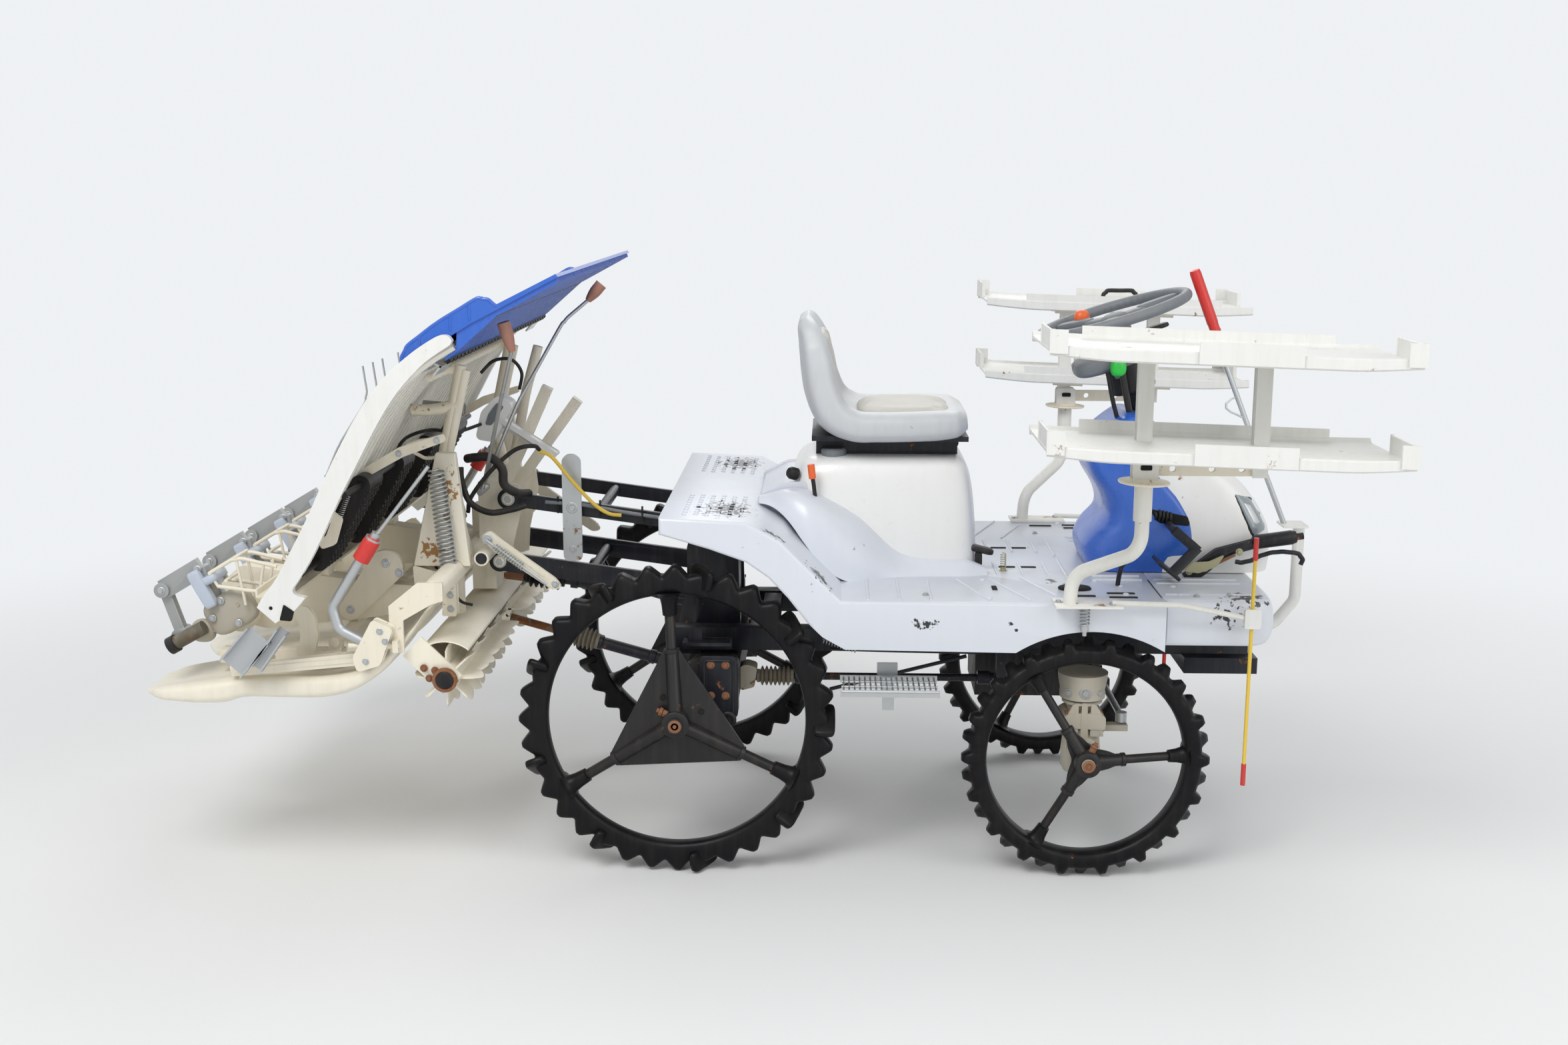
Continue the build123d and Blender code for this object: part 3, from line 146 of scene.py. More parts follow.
def buildWeather():
    # rust shows where fine noise + 0.8 x broad noise passes a limit; dust = clouds x how far a face looks up
    group, start, end = newGroup(
        "weather",
        [
            ("Paint", "Color", (1, 1, 1, 1)), ("Rust", "Color", (0.2, 0.08, 0.03, 1)),
            ("Dust", "Color", (0.4, 0.35, 0.27, 1)), ("Rust Amount", "Float", 0.1), ("Dust Amount", "Float", 0.2),
            ("Stain", "Float", 0.15), ("Rough", "Float", 0.45), ("Size", "Float", 1.0)
        ],
        [("Color", "Color"), ("Roughness", "Float"), ("Height", "Float")]
    )
    place = group.nodes.new("ShaderNodeTexCoord").outputs["Object"]
    sized = addNode(
        group, "ShaderNodeVectorMath", {"operation": "SCALE"}, i0=place, Scale=start.outputs["Size"]
    ).outputs[0]
    clouds = addNoise(group, sized, weatherLook["clouds"], 5.0)
    fine = addNoise(group, sized, weatherLook["fine"], 8.0, 0.7)
    broad = addNoise(group, sized, weatherLook["broad"], 4.0, 0.6)
    streakPlace = addNode(group, "ShaderNodeMapping", None, Vector=sized, Scale=weatherLook["streak"]).outputs[0]
    streaks = addNoise(group, streakPlace, 1.0, 3.0)
    speck = addMath(group, "ADD", fine, addMath(group, "MULTIPLY", broad, 0.8))
    limit = addRange(group, start.outputs["Rust Amount"], 0.0, 1.0, *weatherLook["rustLimit"])
    over = addMath(group, "SUBTRACT", speck, limit)
    rustMask = addMath(group, "MULTIPLY", over, weatherLook["rustEdge"], True)
    normal = group.nodes.new("ShaderNodeNewGeometry").outputs["Normal"]
    upward = addNode(group, "ShaderNodeSeparateXYZ", None, Vector=normal).outputs["Z"]
    lie = addRange(group, upward, -0.2, 1.0, 0.15, 1.0)
    dustShare = addMath(group, "MULTIPLY", addRange(group, clouds, 0.35, 0.7), lie)
    dustMask = addMath(group, "MULTIPLY", dustShare, start.outputs["Dust Amount"], True)
    stainMask = addMath(group, "MULTIPLY", addRange(group, streaks, 0.45, 0.8), start.outputs["Stain"], True)
    painted = addMix(group, stainMask, start.outputs["Paint"], start.outputs["Dust"])
    dusty = addMix(group, dustMask, painted, start.outputs["Dust"])
    deep = addMix(group, addRange(group, fine, 0.3, 0.7), start.outputs["Rust"], weatherLook["deepRust"])
    final = addMix(group, rustMask, dusty, deep)
    group.links.new(final, end.inputs["Color"])
    rough = addMath(group, "ADD", start.outputs["Rough"], addRange(group, fine, 0.3, 0.7, -0.05, 0.07))
    rough = addMath(group, "ADD", rough, addMath(group, "MULTIPLY", rustMask, 0.35))
    rough = addMath(group, "ADD", rough, addMath(group, "MULTIPLY", dustMask, 0.25), True)
    group.links.new(rough, end.inputs["Roughness"])
    height = addMath(group, "ADD", addMath(group, "MULTIPLY", fine, 0.25), addMath(group, "MULTIPLY", rustMask, 0.5))
    group.links.new(height, end.inputs["Height"])
    return group


weather = buildWeather()

spotLook = {"reach": 0.40, "limit": 0.76, "edge": 26.0}
# painted shade for the grooves between the bed's ribs: the limit on the cosine where the stripes begin, how fast they
# darken, and their grey-brown
stripeShadeLook = {"width": -0.1, "edge": 1.6, "color": (0.27, 0.23, 0.17, 1)}


def addSpots(tree, color, spots, spotColor, grain):
    # each spot is (place, radii) in mm: noise passes a limit that falls towards the spot's centre
    place = tree.nodes.new("ShaderNodeTexCoord").outputs["Object"]
    cover = None
    for (x, y, z), radii in spots:
        away = addNode(tree, "ShaderNodeVectorMath", {"operation": "SUBTRACT"}, i0=place,
                       i1=((x - originAhead) / 1000.0, y / 1000.0, z / 1000.0)).outputs[0]
        scaled = addNode(
            tree, "ShaderNodeVectorMath", {"operation": "DIVIDE"}, i0=away, i1=tuple(r / 1000.0 for r in radii)
        ).outputs[0]
        far = addNode(tree, "ShaderNodeVectorMath", {"operation": "LENGTH"}, i0=scaled).outputs["Value"]
        near = addRange(tree, far, 0.0, 1.0, 1.0, 0.0)
        cover = near if cover is None else addMath(tree, "MAXIMUM", cover, near)
    value = addMath(
        tree, "ADD", addNoise(tree, place, grain, 5.0, 0.6), addMath(tree, "MULTIPLY", cover, spotLook["reach"])
    )
    mask = addMath(tree, "MULTIPLY", addMath(tree, "SUBTRACT", value, spotLook["limit"]), spotLook["edge"], True)
    return addMix(tree, mask, color, (*spotColor, 1))


def finish(
    name, paint, rough=0.45, metal=0.0, rust=0.0, dust=0.2, stain=0.1, bump=0.05, size=1.0, coat=0.0,
    rustColor=(0.16, 0.065, 0.025), dustColor=(0.42, 0.37, 0.29), shadeStripes=0.0, spots=None,
    spotColor=(0.02, 0.02, 0.02), grain=70.0, shine=0.5
):
    # a weathered material; the groove stripes, so many per metre of y, are painted shade, darkest halfway between two
    # ribs
    material = bpy.data.materials.new(name)
    material.use_nodes = True
    tree = material.node_tree
    shader = tree.nodes["Principled BSDF"]
    worn = tree.nodes.new("ShaderNodeGroup")
    worn.node_tree = weather
    values = {
        "Paint": (*paint, 1), "Rust": (*rustColor, 1), "Dust": (*dustColor, 1), "Rust Amount": rust,
        "Dust Amount": dust, "Stain": stain, "Rough": rough, "Size": size
    }
    for key, value in values.items():
        worn.inputs[key].default_value = value
    color = worn.outputs["Color"]
    if spots:
        color = addSpots(tree, color, spots, spotColor, grain)
    # painted shade in the grooves between the ribs: a cosine across y, broken into patches by noise
    if shadeStripes:
        place = tree.nodes.new("ShaderNodeTexCoord").outputs["Object"]
        across = addNode(tree, "ShaderNodeSeparateXYZ", None, Vector=place).outputs[1]
        wave = addMath(tree, "COSINE", addMath(tree, "MULTIPLY", across, shadeStripes * 2 * pi))
        deep = addMath(
            tree, "MULTIPLY", addMath(tree, "SUBTRACT", stripeShadeLook["width"], wave), stripeShadeLook["edge"], True
        )
        patches = addRange(tree, addNoise(tree, place, 5.0, 3.0, 0.6), 0.35, 0.65, 0.5, 1.0)
        color = addMix(tree, addMath(tree, "MULTIPLY", deep, patches), color, stripeShadeLook["color"])
    tree.links.new(color, shader.inputs["Base Color"])
    tree.links.new(worn.outputs["Roughness"], shader.inputs["Roughness"])
    shader.inputs["Metallic"].default_value = metal
    shader.inputs["Specular IOR Level"].default_value = shine
    shader.inputs["Coat Weight"].default_value = coat
    shader.inputs["Coat Roughness"].default_value = 0.15
    lift = addNode(tree, "ShaderNodeBump", None, Height=worn.outputs["Height"], Strength=1.0, Distance=bump * 0.01)
    tree.links.new(lift.outputs[0], shader.inputs["Normal"])
    return material


fenderSpots = [((110, side * 320, 828), (120, 190, 50)) for side in (-1, 1)] + [
    ((322, -430, 700), (62, 70, 86)), ((215, -440, 790), (120, 40, 40)), ((745, -470, 603), (13, 20, 10)),
    ((757, -470, 588), (8, 20, 8)), ((560, -470, 600), (60, 20, 26)), ((250, -200, 840), (20, 30, 20)),
    ((620, 300, 650), (40, 60, 10)), ((860, -250, 650), (30, 60, 10))
]
deckSpots = [((1225, -430, 612), (58, 50, 60)), ((1275, -400, 645), (105, 80, 36)), ((1180, 300, 650), (60, 90, 14))]
postSpots = [
    ((x, side * y, z), radii) for side in (-1, 1)
    for x, y, z, radii in (
        (868, 485, 655, (34, 34, 12)), (940, 500, 654, (34, 30, 10)), (995, 620, 862, (22, 22, 14)),
        (1010, 620, 944, (50, 50, 12))
    )
]
platePatches = [
    ((x, side * 372, z), (wide, 30, high)) for side in (-1, 1)
    for x, z, wide, high in ((-554, 736, 62, 48), (-511, 886, 34, 72), (-514, 820, 26, 44))
]
paleFloor = dict(paint=(0.70, 0.73, 0.79), rough=0.34, dust=0.12, stain=0.04, coat=0.2, bump=0.02)
finishTable = {
    "whitePlastic": dict(paint=(0.86, 0.86, 0.84), rough=0.30, dust=0.10, stain=0.04, coat=0.25, bump=0.02),
    "whitePaint": dict(paint=(0.80, 0.80, 0.77), rough=0.38, rust=0.10, stain=0.14, bump=0.03),
    "creamPaint": dict(paint=(0.83, 0.77, 0.63), rough=0.42, rust=0.11, stain=0.15),
    "flooring": dict(paleFloor, spots=fenderSpots),
    "deckWhite": dict(paleFloor, spots=deckSpots),
    "postPaint": dict(
        paint=(0.80, 0.79, 0.74), rough=0.38, rust=0.05, dust=0.25, stain=0.15, bump=0.03, spots=postSpots,
        spotColor=(0.30, 0.15, 0.05), grain=60.0
    ),
    "rubberSandy": dict(paint=(0.17, 0.145, 0.105), rough=0.75, dust=0.7, stain=0.4, bump=0.08),
    "rustyBar": dict(paint=(0.24, 0.10, 0.045), rough=0.75, metal=0.1, rust=0.35, bump=0.1),
    "green": dict(paint=(0.02, 0.55, 0.06), rough=0.35, dust=0.1, stain=0.05),
    "orange": dict(paint=(0.85, 0.13, 0.02), rough=0.35, dust=0.15, stain=0.05),
    "zinc": dict(paint=(0.42, 0.40, 0.24), metal=0.6, rust=0.15, dust=0.3, stain=0.2),
    # hole: flat black that paints the shade inside holes, slots, gaps and hollow ends; the deck's seam line uses it too
    "hole": dict(paint=(0.004, 0.004, 0.004), rough=0.9, dust=0.0, stain=0.0, bump=0.0),
    "creamPlastic": dict(paint=(0.86, 0.81, 0.68), rough=0.42, dust=0.22, stain=0.15, dustColor=(0.55, 0.46, 0.30)),
    "bluePlastic": dict(paint=(0.02, 0.12, 0.55), rough=0.28, dust=0.12, stain=0.05, coat=0.3, bump=0.02),
    "greyPlastic": dict(paint=(0.16, 0.18, 0.20), rough=0.5, dust=0.3),
    "blackPlastic": dict(paint=(0.010, 0.010, 0.012), rough=0.42, dust=0.08, stain=0.05, shine=0.3),
    "blackPaint": dict(
        paint=(0.009, 0.011, 0.018), rough=0.33, rust=0.16, dust=0.10, stain=0.05, bump=0.04, shine=0.3
    ),
    "sandyCast": dict(
        paint=(0.46, 0.43, 0.36), rough=0.6, metal=0.1, rust=0.16, dust=0.6, stain=0.4, bump=0.12,
        dustColor=(0.46, 0.38, 0.25)
    ),
    "greyCast": dict(paint=(0.36, 0.37, 0.37), rough=0.5, metal=0.4, dust=0.3, stain=0.2, bump=0.1),
    "darkCast": dict(paint=(0.012, 0.012, 0.015), rust=0.26, dust=0.12, stain=0.08, bump=0.12, shine=0.3),
    "galvanised": dict(paint=(0.50, 0.52, 0.53), rough=0.4, metal=0.8, rust=0.12, stain=0.15, size=0.6),
    "rustySteel": dict(paint=(0.20, 0.10, 0.06), rough=0.7, metal=0.3, rust=0.75, bump=0.15),
    "rubberTyre": dict(paint=(0.005, 0.005, 0.0065), rough=0.36, dust=0.03, stain=0.02, shine=0.16),
    "rubberBoot": dict(paint=(0.010, 0.010, 0.011), rough=0.48, dust=0.12, stain=0.08, shine=0.25),
    "vinyl": dict(paint=(0.56, 0.58, 0.60), rough=0.42, stain=0.15, bump=0.03),
    # the bed's ribs get painted shade in their grooves
    "bedWhite": dict(paint=(0.82, 0.80, 0.73), rough=0.36, dust=0.18, stain=0.08, bump=0.03, shadeStripes=30 / 1.232),
    "patchyCream": dict(
        paint=(0.83, 0.78, 0.65), rough=0.42, rust=0.08, dust=0.18, stain=0.12, spots=platePatches,
        spotColor=(0.34, 0.17, 0.05), grain=80.0
    ),
    "rustyBlack": dict(
        paint=(0.010, 0.010, 0.011), rough=0.38, rust=0.18, dust=0.3, stain=0.3, bump=0.08, size=0.8,
        rustColor=(0.07, 0.035, 0.02), dustColor=(0.075, 0.06, 0.045), shine=0.35
    ),
    "paleBlue": dict(paint=(0.50, 0.56, 0.66), dust=0.3, stain=0.15, bump=0.03),
    "padVinyl": dict(paint=(0.55, 0.54, 0.50), rough=0.5, dust=0.35, stain=0.2, bump=0.04),
    "lens": dict(paint=(0.26, 0.30, 0.33), rough=0.08, dust=0.1, stain=0.05, coat=0.8, bump=0.01),
    "yellow": dict(paint=(0.80, 0.55, 0.06), rough=0.4, dust=0.15),
    "red": dict(paint=(0.62, 0.03, 0.025), rough=0.35, dust=0.1, stain=0.05),
    "brown": dict(paint=(0.36, 0.16, 0.11), rough=0.5, dust=0.3, stain=0.2, dustColor=(0.5, 0.4, 0.32)),
    "oldTube": dict(paint=(0.10, 0.085, 0.06), rough=0.55, metal=0.3, rust=0.3, dust=0.5, stain=0.4, bump=0.1),
    "aluminium": dict(paint=(0.58, 0.60, 0.60), rough=0.38, metal=0.85, dust=0.3, stain=0.2)
}
finishes = {name: finish(name, **values) for name, values in finishTable.items()}

# Solids that stay as they are

nodeFinish = {
    "marker_brackets": "creamPaint", "guide_rail": "creamPaint", "rotor_cover": "creamPlastic",
    "platform_extension": "bluePlastic", "feed_belts": "blackPlastic", "cylinder_barrel": "blackPaint",
    "seat_hinge": "blackPaint", "engine": "greyCast", "marker_left": "galvanised", "marker_right": "galvanised",
    "track_rod": "galvanised", "cylinder_rod": "galvanised", "rotor_shaft_rod": "rustySteel",
}
for name, finishName in nodeFinish.items():
    mesh = nodes[name].data
    mesh.materials.clear()
    mesh.materials.append(finishes[finishName])
print("finishes on the solids")

# Surfaces from arrays


def point(x, y, z):
    # a place in the solids' millimetres from the rear axle, in metres from the origin
    return np.array([(x - originAhead) / 1000.0, y / 1000.0, z / 1000.0])


def meshPiece(name, verts, faces, body, finishName, smooth=True, angle=None):
    # a mesh with one finish that rides on a body; edges sharper than the angle stay sharp
    mesh = bpy.data.meshes.new(name)
    mesh.from_pydata(np.asarray(verts).tolist(), [], faces if isinstance(faces, list) else faces.tolist())
    mesh.validate()
    mesh.polygons.foreach_set("use_smooth", [smooth] * len(mesh.polygons))
    mesh.update()
    piece = addObject(name, mesh)
    mesh.materials.append(finishes[finishName])
    if angle:
        mesh.set_sharp_from_angle(angle=radians(angle))
    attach(piece, body)
    return piece


def gridFaces(rows, columns, closeRows=False, closeColumns=True):
    # quads between neighbouring rows and columns of a grid, joined round where it closes
    r = np.arange(rows if closeRows else rows - 1)[:, None]
    c = np.arange(columns if closeColumns else columns - 1)[None, :]
    r1, c1 = (r + 1) % rows, (c + 1) % columns
    quads = np.stack([r * columns + c + 0 * r1, r * columns + c1, r1 * columns + c1, r1 * columns + c], axis=-1)
    return quads.reshape(-1, 4)


def endFaces(rows, columns):
    # one polygon over the first row of a grid and one over its last row
    last = (rows - 1) * columns
    return [list(range(columns)), list(range(last, last + columns))[::-1]]


def closedGrid(grid):
    # rings in mm as vertices in metres with their faces, the first and the last ring closed by a polygon
    rows, columns = grid.shape[:2]
    return grid.reshape(-1, 3) / 1000.0, gridFaces(rows, columns).tolist() + endFaces(rows, columns)


def pathFrames(path):
    # tangents along the path, and a side and an up vector at each point, carried along without twist
    path = np.asarray(path, float)
    tangent = np.gradient(path, axis=0)
    tangent /= np.linalg.norm(tangent, axis=1)[:, None]
    side = np.zeros_like(path)
    first = np.array([0, 0, 1.0]) if abs(tangent[0, 2]) < 0.9 else np.array([1.0, 0, 0])
    last = np.cross(tangent[0], first)
    for k in range(len(path)):
        last = last - tangent[k] * np.dot(last, tangent[k])
        last = last / np.linalg.norm(last)
        side[k] = last
    return tangent, side, np.cross(tangent, side)


def smoothPath(points, count):
    # a Catmull-Rom curve through the points: a cubic in f between each pair of neighbours
    points = np.asarray(points, float)
    spans = len(points) - 1
    t = np.linspace(0, spans, count)
    k = np.minimum(t.astype(int), spans - 1)
    f = (t - k)[:, None]
    longer = np.vstack([2 * points[0] - points[1], points, 2 * points[-1] - points[-2]])
    p0, p1, p2, p3 = (longer[k + d] for d in range(4))
    square, cube = 2 * p0 - 5 * p1 + 4 * p2 - p3, 3 * p1 - p0 - 3 * p2 + p3
    return 0.5 * (2 * p1 + (p2 - p0) * f + square * f ** 2 + cube * f ** 3)


def tubeArrays(path, radius, sides=12):
    # a circle of the given radius carried along the path, with a point at each end's middle
    path = np.asarray(path, float)
    tangent, side, up = pathFrames(path)
    radius = np.broadcast_to(np.asarray(radius, float), (len(path),))
    a = np.linspace(0, 2 * pi, sides, endpoint=False)
    ring = np.cos(a)[None, :, None] * side[:, None, :] + np.sin(a)[None, :, None] * up[:, None, :]
    verts = (path[:, None, :] + ring * radius[:, None, None]).reshape(-1, 3)
    faces = gridFaces(len(path), sides).tolist()
    verts = np.vstack([verts, path[0], path[-1]])
    first, last = len(verts) - 2, len(verts) - 1
    ends = (len(path) - 1) * sides
    k = np.arange(sides)
    faces += np.stack([np.full(sides, first), (k + 1) % sides, k], axis=1)[:, ::-1].tolist()
    faces += np.stack([np.full(sides, last), ends + k, ends + (k + 1) % sides], axis=1)[:, ::-1].tolist()
    return verts, faces


def joined(parts):
    # several vertex and face lists as one
    verts, faces, start = [], [], 0
    for v, f in parts:
        verts.append(np.asarray(v))
        faces += [tuple(i + start for i in face) for face in (f.tolist() if isinstance(f, np.ndarray) else f)]
        start += len(v)
    return np.vstack(verts), faces


def tubePiece(name, points, diameter, body, finishName, count, sides=12):
    # a round rod or cable along a smooth line through millimetre points
    path = smoothPath([point(*p) for p in points], count)
    verts, faces = tubeArrays(path, diameter / 2000.0, sides)
    return meshPiece(name, verts, faces, body, finishName, angle=50)


# Shared ways of making pieces


def span(side, near, far):
    # two distances from the middle on one side of the machine, the lower y first
    return sorted((side * near, side * far))


def turnMatrix(degrees, axis="Y"):
    # a turn about one axis as rows of numbers
    return np.array(Matrix.Rotation(radians(degrees), 3, axis))


def turnOutwards(piece):
    # all faces of a closed mesh look outwards
    work = bmesh.new()
    work.from_mesh(piece.data)
    bmesh.ops.recalc_face_normals(work, faces=work.faces)
    work.to_mesh(piece.data)
    work.free()


def roundEdges(piece, width):
    # edges that turn by more than 35 degrees are rounded by width (mm)
    bevel = piece.modifiers.new("edges", "BEVEL")
    bevel.width = width / 1000.0
    bevel.segments = 2
    bevel.limit_method = "ANGLE"
    bevel.angle_limit = radians(35)
    bevel.harden_normals = True
    return bevel


def softenNode(name, width, finishName):
    # a copy of a solid with rounded edges, which stands for the solid; triangles of one plane are joined first
    source = nodes[name]
    mesh = source.data.copy()
    work = bmesh.new()
    work.from_mesh(mesh)
    bmesh.ops.remove_doubles(work, verts=work.verts, dist=2e-5)
    bmesh.ops.dissolve_limit(work, angle_limit=radians(0.6), verts=work.verts, edges=work.edges)
    work.to_mesh(mesh)
    work.free()
    mesh.materials.clear()
    mesh.materials.append(finishes[finishName])
    mesh.polygons.foreach_set("use_smooth", [True] * len(mesh.polygons))
    piece = addObject(name + ".soft", mesh)
    roundEdges(piece, width).miter_outer = "MITER_ARC"
    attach(piece, source["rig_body"])
    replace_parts(piece, name)
    return piece


def bentPath(points, bend=20.0, count=60):
    # straight runs whose corners are rounded over the bend length (mm), as points in metres
    given = [np.array(p, float) for p in points]
    line = [given[0]]
    for before, corner, after in zip(given[:-2], given[1:-1], given[2:]):
        for other in (before, after):
            way = other - corner
            reach = min(bend, np.linalg.norm(way) * 0.45)
            line.append(corner + way / np.linalg.norm(way) * reach)
    line.append(given[-1])
    full = []
    for a, b in zip(line[:-1], line[1:]):
        full += [a, a + (b - a) * 0.5]
    full.append(line[-1])
    return smoothPath([point(*p) for p in full], count)


def rodPiece(name, points, diameter, body, finishName, bend=20.0, sides=12):
    # a bent rod: a circle carried along straight runs with rounded corners
    verts, faces = tubeArrays(bentPath(points, bend), diameter / 2000.0, sides)
    return meshPiece(name, verts, faces, body, finishName, angle=50)


def rodSet(name, runs, body, finishName, sides=10):
    # several straight or bent rods as one piece; each run is (points, diameter)
    parts = [tubeArrays(bentPath(points, 14.0, 2 + 14 * (len(points) - 1)), d / 2000.0, sides) for points, d in runs]
    verts, faces = joined(parts)
    return meshPiece(name, verts, faces, body, finishName, angle=50)


def slabArrays(outline, yLow, yHigh):
    # a side outline (x, z) in millimetres carried from yLow to yHigh
    n = len(outline)
    low = [point(x, yLow, z) for x, z in outline]
    high = [point(x, yHigh, z) for x, z in outline]
    area = sum(a[0] * b[1] - b[0] * a[1] for a, b in zip(outline, outline[1:] + outline[:1]))
    k = list(range(n)) if area > 0 else list(range(n))[::-1]
    faces = [tuple(k), tuple(i + n for i in k[::-1])]
    faces += [(a, a + n, b + n, b) for a, b in zip(k[1:] + k[:1], k)]
    return np.array(low + high), faces


def slabPiece(name, slabs, body, finishName, bevel=2.0):
    # flat plates with rounded edges; each slab is (outline, yLow, yHigh)
    verts, faces = joined([slabArrays(*slab) for slab in slabs])
    piece = meshPiece(name, verts, faces, body, finishName)
    roundEdges(piece, bevel)
    return piece


def rounded(outline, radius):
    # each corner becomes a parabola of five points between two places at the radius from it
    corners = [np.array(p, float) for p in outline]
    made = []
    for k, corner in enumerate(corners):
        before, after = corners[k - 1], corners[(k + 1) % len(corners)]
        a, b = before - corner, after - corner
        reach = min(radius, np.linalg.norm(a) * 0.45, np.linalg.norm(b) * 0.45)
        p, q = corner + a / np.linalg.norm(a) * reach, corner + b / np.linalg.norm(b) * reach
        for t in np.linspace(0, 1, 5):
            made.append(tuple((1 - t) ** 2 * p + 2 * t * (1 - t) * corner + t * t * q))
    return made


def plate(corners, radius, side, near, far):
    # a slab with rounded corners between two distances from the middle
    return rounded(corners, radius), *span(side, near, far)


def boltArrays(x, y, z, direction, size):
    # a washer and a six-sided head standing along the direction from a place on the surface; radii follow the size
    d = Vector(direction).normalized()
    turn = d.to_track_quat("Z", "Y").to_matrix()
    parts = []
    for radius, low, tall, sides in ((size * 0.95, 0.0, 1.5, 20), (size * 0.58, 1.5, 5.0, 6)):
        a = np.linspace(0, 2 * pi, sides, endpoint=False)
        levels = ((radius, low), (radius, tall - 0.6), (radius * 0.9, tall))
        verts = [[r * cos(t), r * sin(t), h] for r, h in levels for t in a] + [[0, 0, tall]]
        verts = (np.array(verts) / 1000.0) @ np.array(turn).T + point(x, y, z)
        faces = gridFaces(3, sides)[:, ::-1].tolist()
        top = 2 * sides + np.arange(sides)
        faces += [[int(i), int(2 * sides + (k + 1) % sides), 3 * sides] for k, i in enumerate(top)]
        parts.append((verts, faces))
    return joined(parts)


def boltSet(name, bolts, body, finishName):
    # each bolt is (x, y, z, direction, size)
    verts, faces = joined([boltArrays(*bolt) for bolt in bolts])
    return meshPiece(name, verts, faces, body, finishName, smooth=False)


def sideBolts(name, side, away, size, places, body, finishName):
    # bolts whose heads look away from the middle; each place is (x, z)
    return boltSet(name, [(x, side * away, z, (0, side, 0), size) for x, z in places], body, finishName)


def springPiece(name, start, end, diameter, wire, turns, body, finishName, steps=14):
    # a helix of wire round the line from start to end, its ends closing in
    a, b = point(*start), point(*end)
    t = np.linspace(0, 1, int(turns * steps))
    line = a + (b - a) * t[:, None]
    axis = (b - a) / np.linalg.norm(b - a)
    side = np.cross(axis, [0, 1, 0])
    side /= np.linalg.norm(side)
    up = np.cross(axis, side)
    radius = (diameter / 2000.0) * np.clip(np.minimum(t, 1 - t) * turns * 1.4 + 0.25, 0, 1)
    angle = 2 * pi * turns * t
    path = line + side * (radius * np.cos(angle))[:, None] + up * (radius * np.sin(angle))[:, None]
    verts, faces = tubeArrays(path, wire / 2000.0, 6)
    return meshPiece(name, verts, faces, body, finishName)


def signedPower(value, power):
    # the power of the size, with the value's own sign
    return np.sign(value) * np.abs(value) ** power


def roundedBox(centre, half, square=0.35, rows=13, columns=24, turn=None):
    # a superellipsoid: a box whose corners are rounded by the squareness power
    u = np.linspace(-pi / 2, pi / 2, rows)[:, None]
    v = np.linspace(0, 2 * pi, columns, endpoint=False)[None, :]
    x = signedPower(np.cos(u), square) * signedPower(np.cos(v), square) * half[0]
    y = signedPower(np.cos(u), square) * signedPower(np.sin(v), square) * half[1]
    z = signedPower(np.sin(u), square) * half[2] + 0 * v
    verts = np.stack([x, y, z], axis=-1).reshape(-1, 3)
    if turn is not None:
        verts = verts @ np.array(turn).T
    verts = verts / 1000.0 + point(*centre)
    return verts, gridFaces(rows, columns)[:, ::-1]


def boxPiece(name, boxes, body, finishName):
    # each box is (centre, half sizes, squareness, rows, columns, turn)
    verts, faces = joined([roundedBox(*box) for box in boxes])
    return meshPiece(name, verts, faces, body, finishName)


def closedPiece(name, arrays, body, finishName):
    # a piece whose faces are all turned outwards
    verts, faces = arrays
    piece = meshPiece(name, verts, faces, body, finishName, smooth=False)
    turnOutwards(piece)
    return piece


def smoothShade(piece, angle=40.0):
    # smooth but for edges that turn by more than the angle
    piece.data.polygons.foreach_set("use_smooth", [True] * len(piece.data.polygons))
    piece.data.set_sharp_from_angle(angle=radians(angle))
    return piece


def turnedArrays(start, way, profile, sides=24):
    # rings of (distance, radius) in mm along a direction, closed at both ends
    d = np.array(way, float) / np.linalg.norm(way)
    a = np.cross(d, [0, 0, 1.0] if abs(d[2]) < 0.9 else [1.0, 0, 0])
    a /= np.linalg.norm(a)
    b = np.cross(d, a)
    t = np.linspace(0, 2 * pi, sides, endpoint=False)
    ring = np.cos(t)[:, None] * a + np.sin(t)[:, None] * b
    rows = [np.array(start) + d * s + ring * r for s, r in profile]
    verts = np.vstack(rows)
    verts[:, 0] -= originAhead
    faces = gridFaces(len(profile), sides).tolist()
    return verts / 1000.0, [face[::-1] for face in faces] + endFaces(len(profile), sides)


def turnedSet(name, shapes, body, finishName, sides=24):
    # each shape is (start, direction, profile)
    verts, faces = joined([turnedArrays(*shape, sides) for shape in shapes])
    return meshPiece(name, verts, faces, body, finishName, angle=40)


def bellowsProfile(start, end, high, low, folds):
    # a collar, then radius = low + (high - low) x half a cosine wave per fold, then a collar
    steps = np.linspace(start, end, folds * 6 + 1)
    swing = low + (high - low) * (0.5 - 0.5 * np.cos(2 * pi * folds * (steps - start) / (end - start))) ** 0.7
    collar = low + 2
    return [(start - 8, collar), (start - 1, collar), *zip(steps, swing), (end + 1, collar), (end + 8, collar)]


# Lugged tyres: a rounded ring whose outer side swells into lugs, with slanted paddles at the rear

halfTrack = 420.0
tyreShapes = {
    "rear": {
        "x": 0.0, "z": 360.0, "outer": 360.0, "base": 338.0, "inner": 292.0, "half": 22.0, "lugs": 36, "foot": 0.46,
        "tip": 0.09, "paddles": 9, "paddle": (25.0, 45.0, 9.0), "paddleSlant": 34.0, "shift": 0.0
    },
    "front": {
        "x": 925.0, "z": 280.0, "outer": 280.0, "base": 263.0, "inner": 222.0, "half": 29.0, "lugs": 36, "foot": 0.34,
        "tip": 0.17, "paddles": 0, "paddle": None, "paddleSlant": 0.0, "shift": 9.0
    }
}


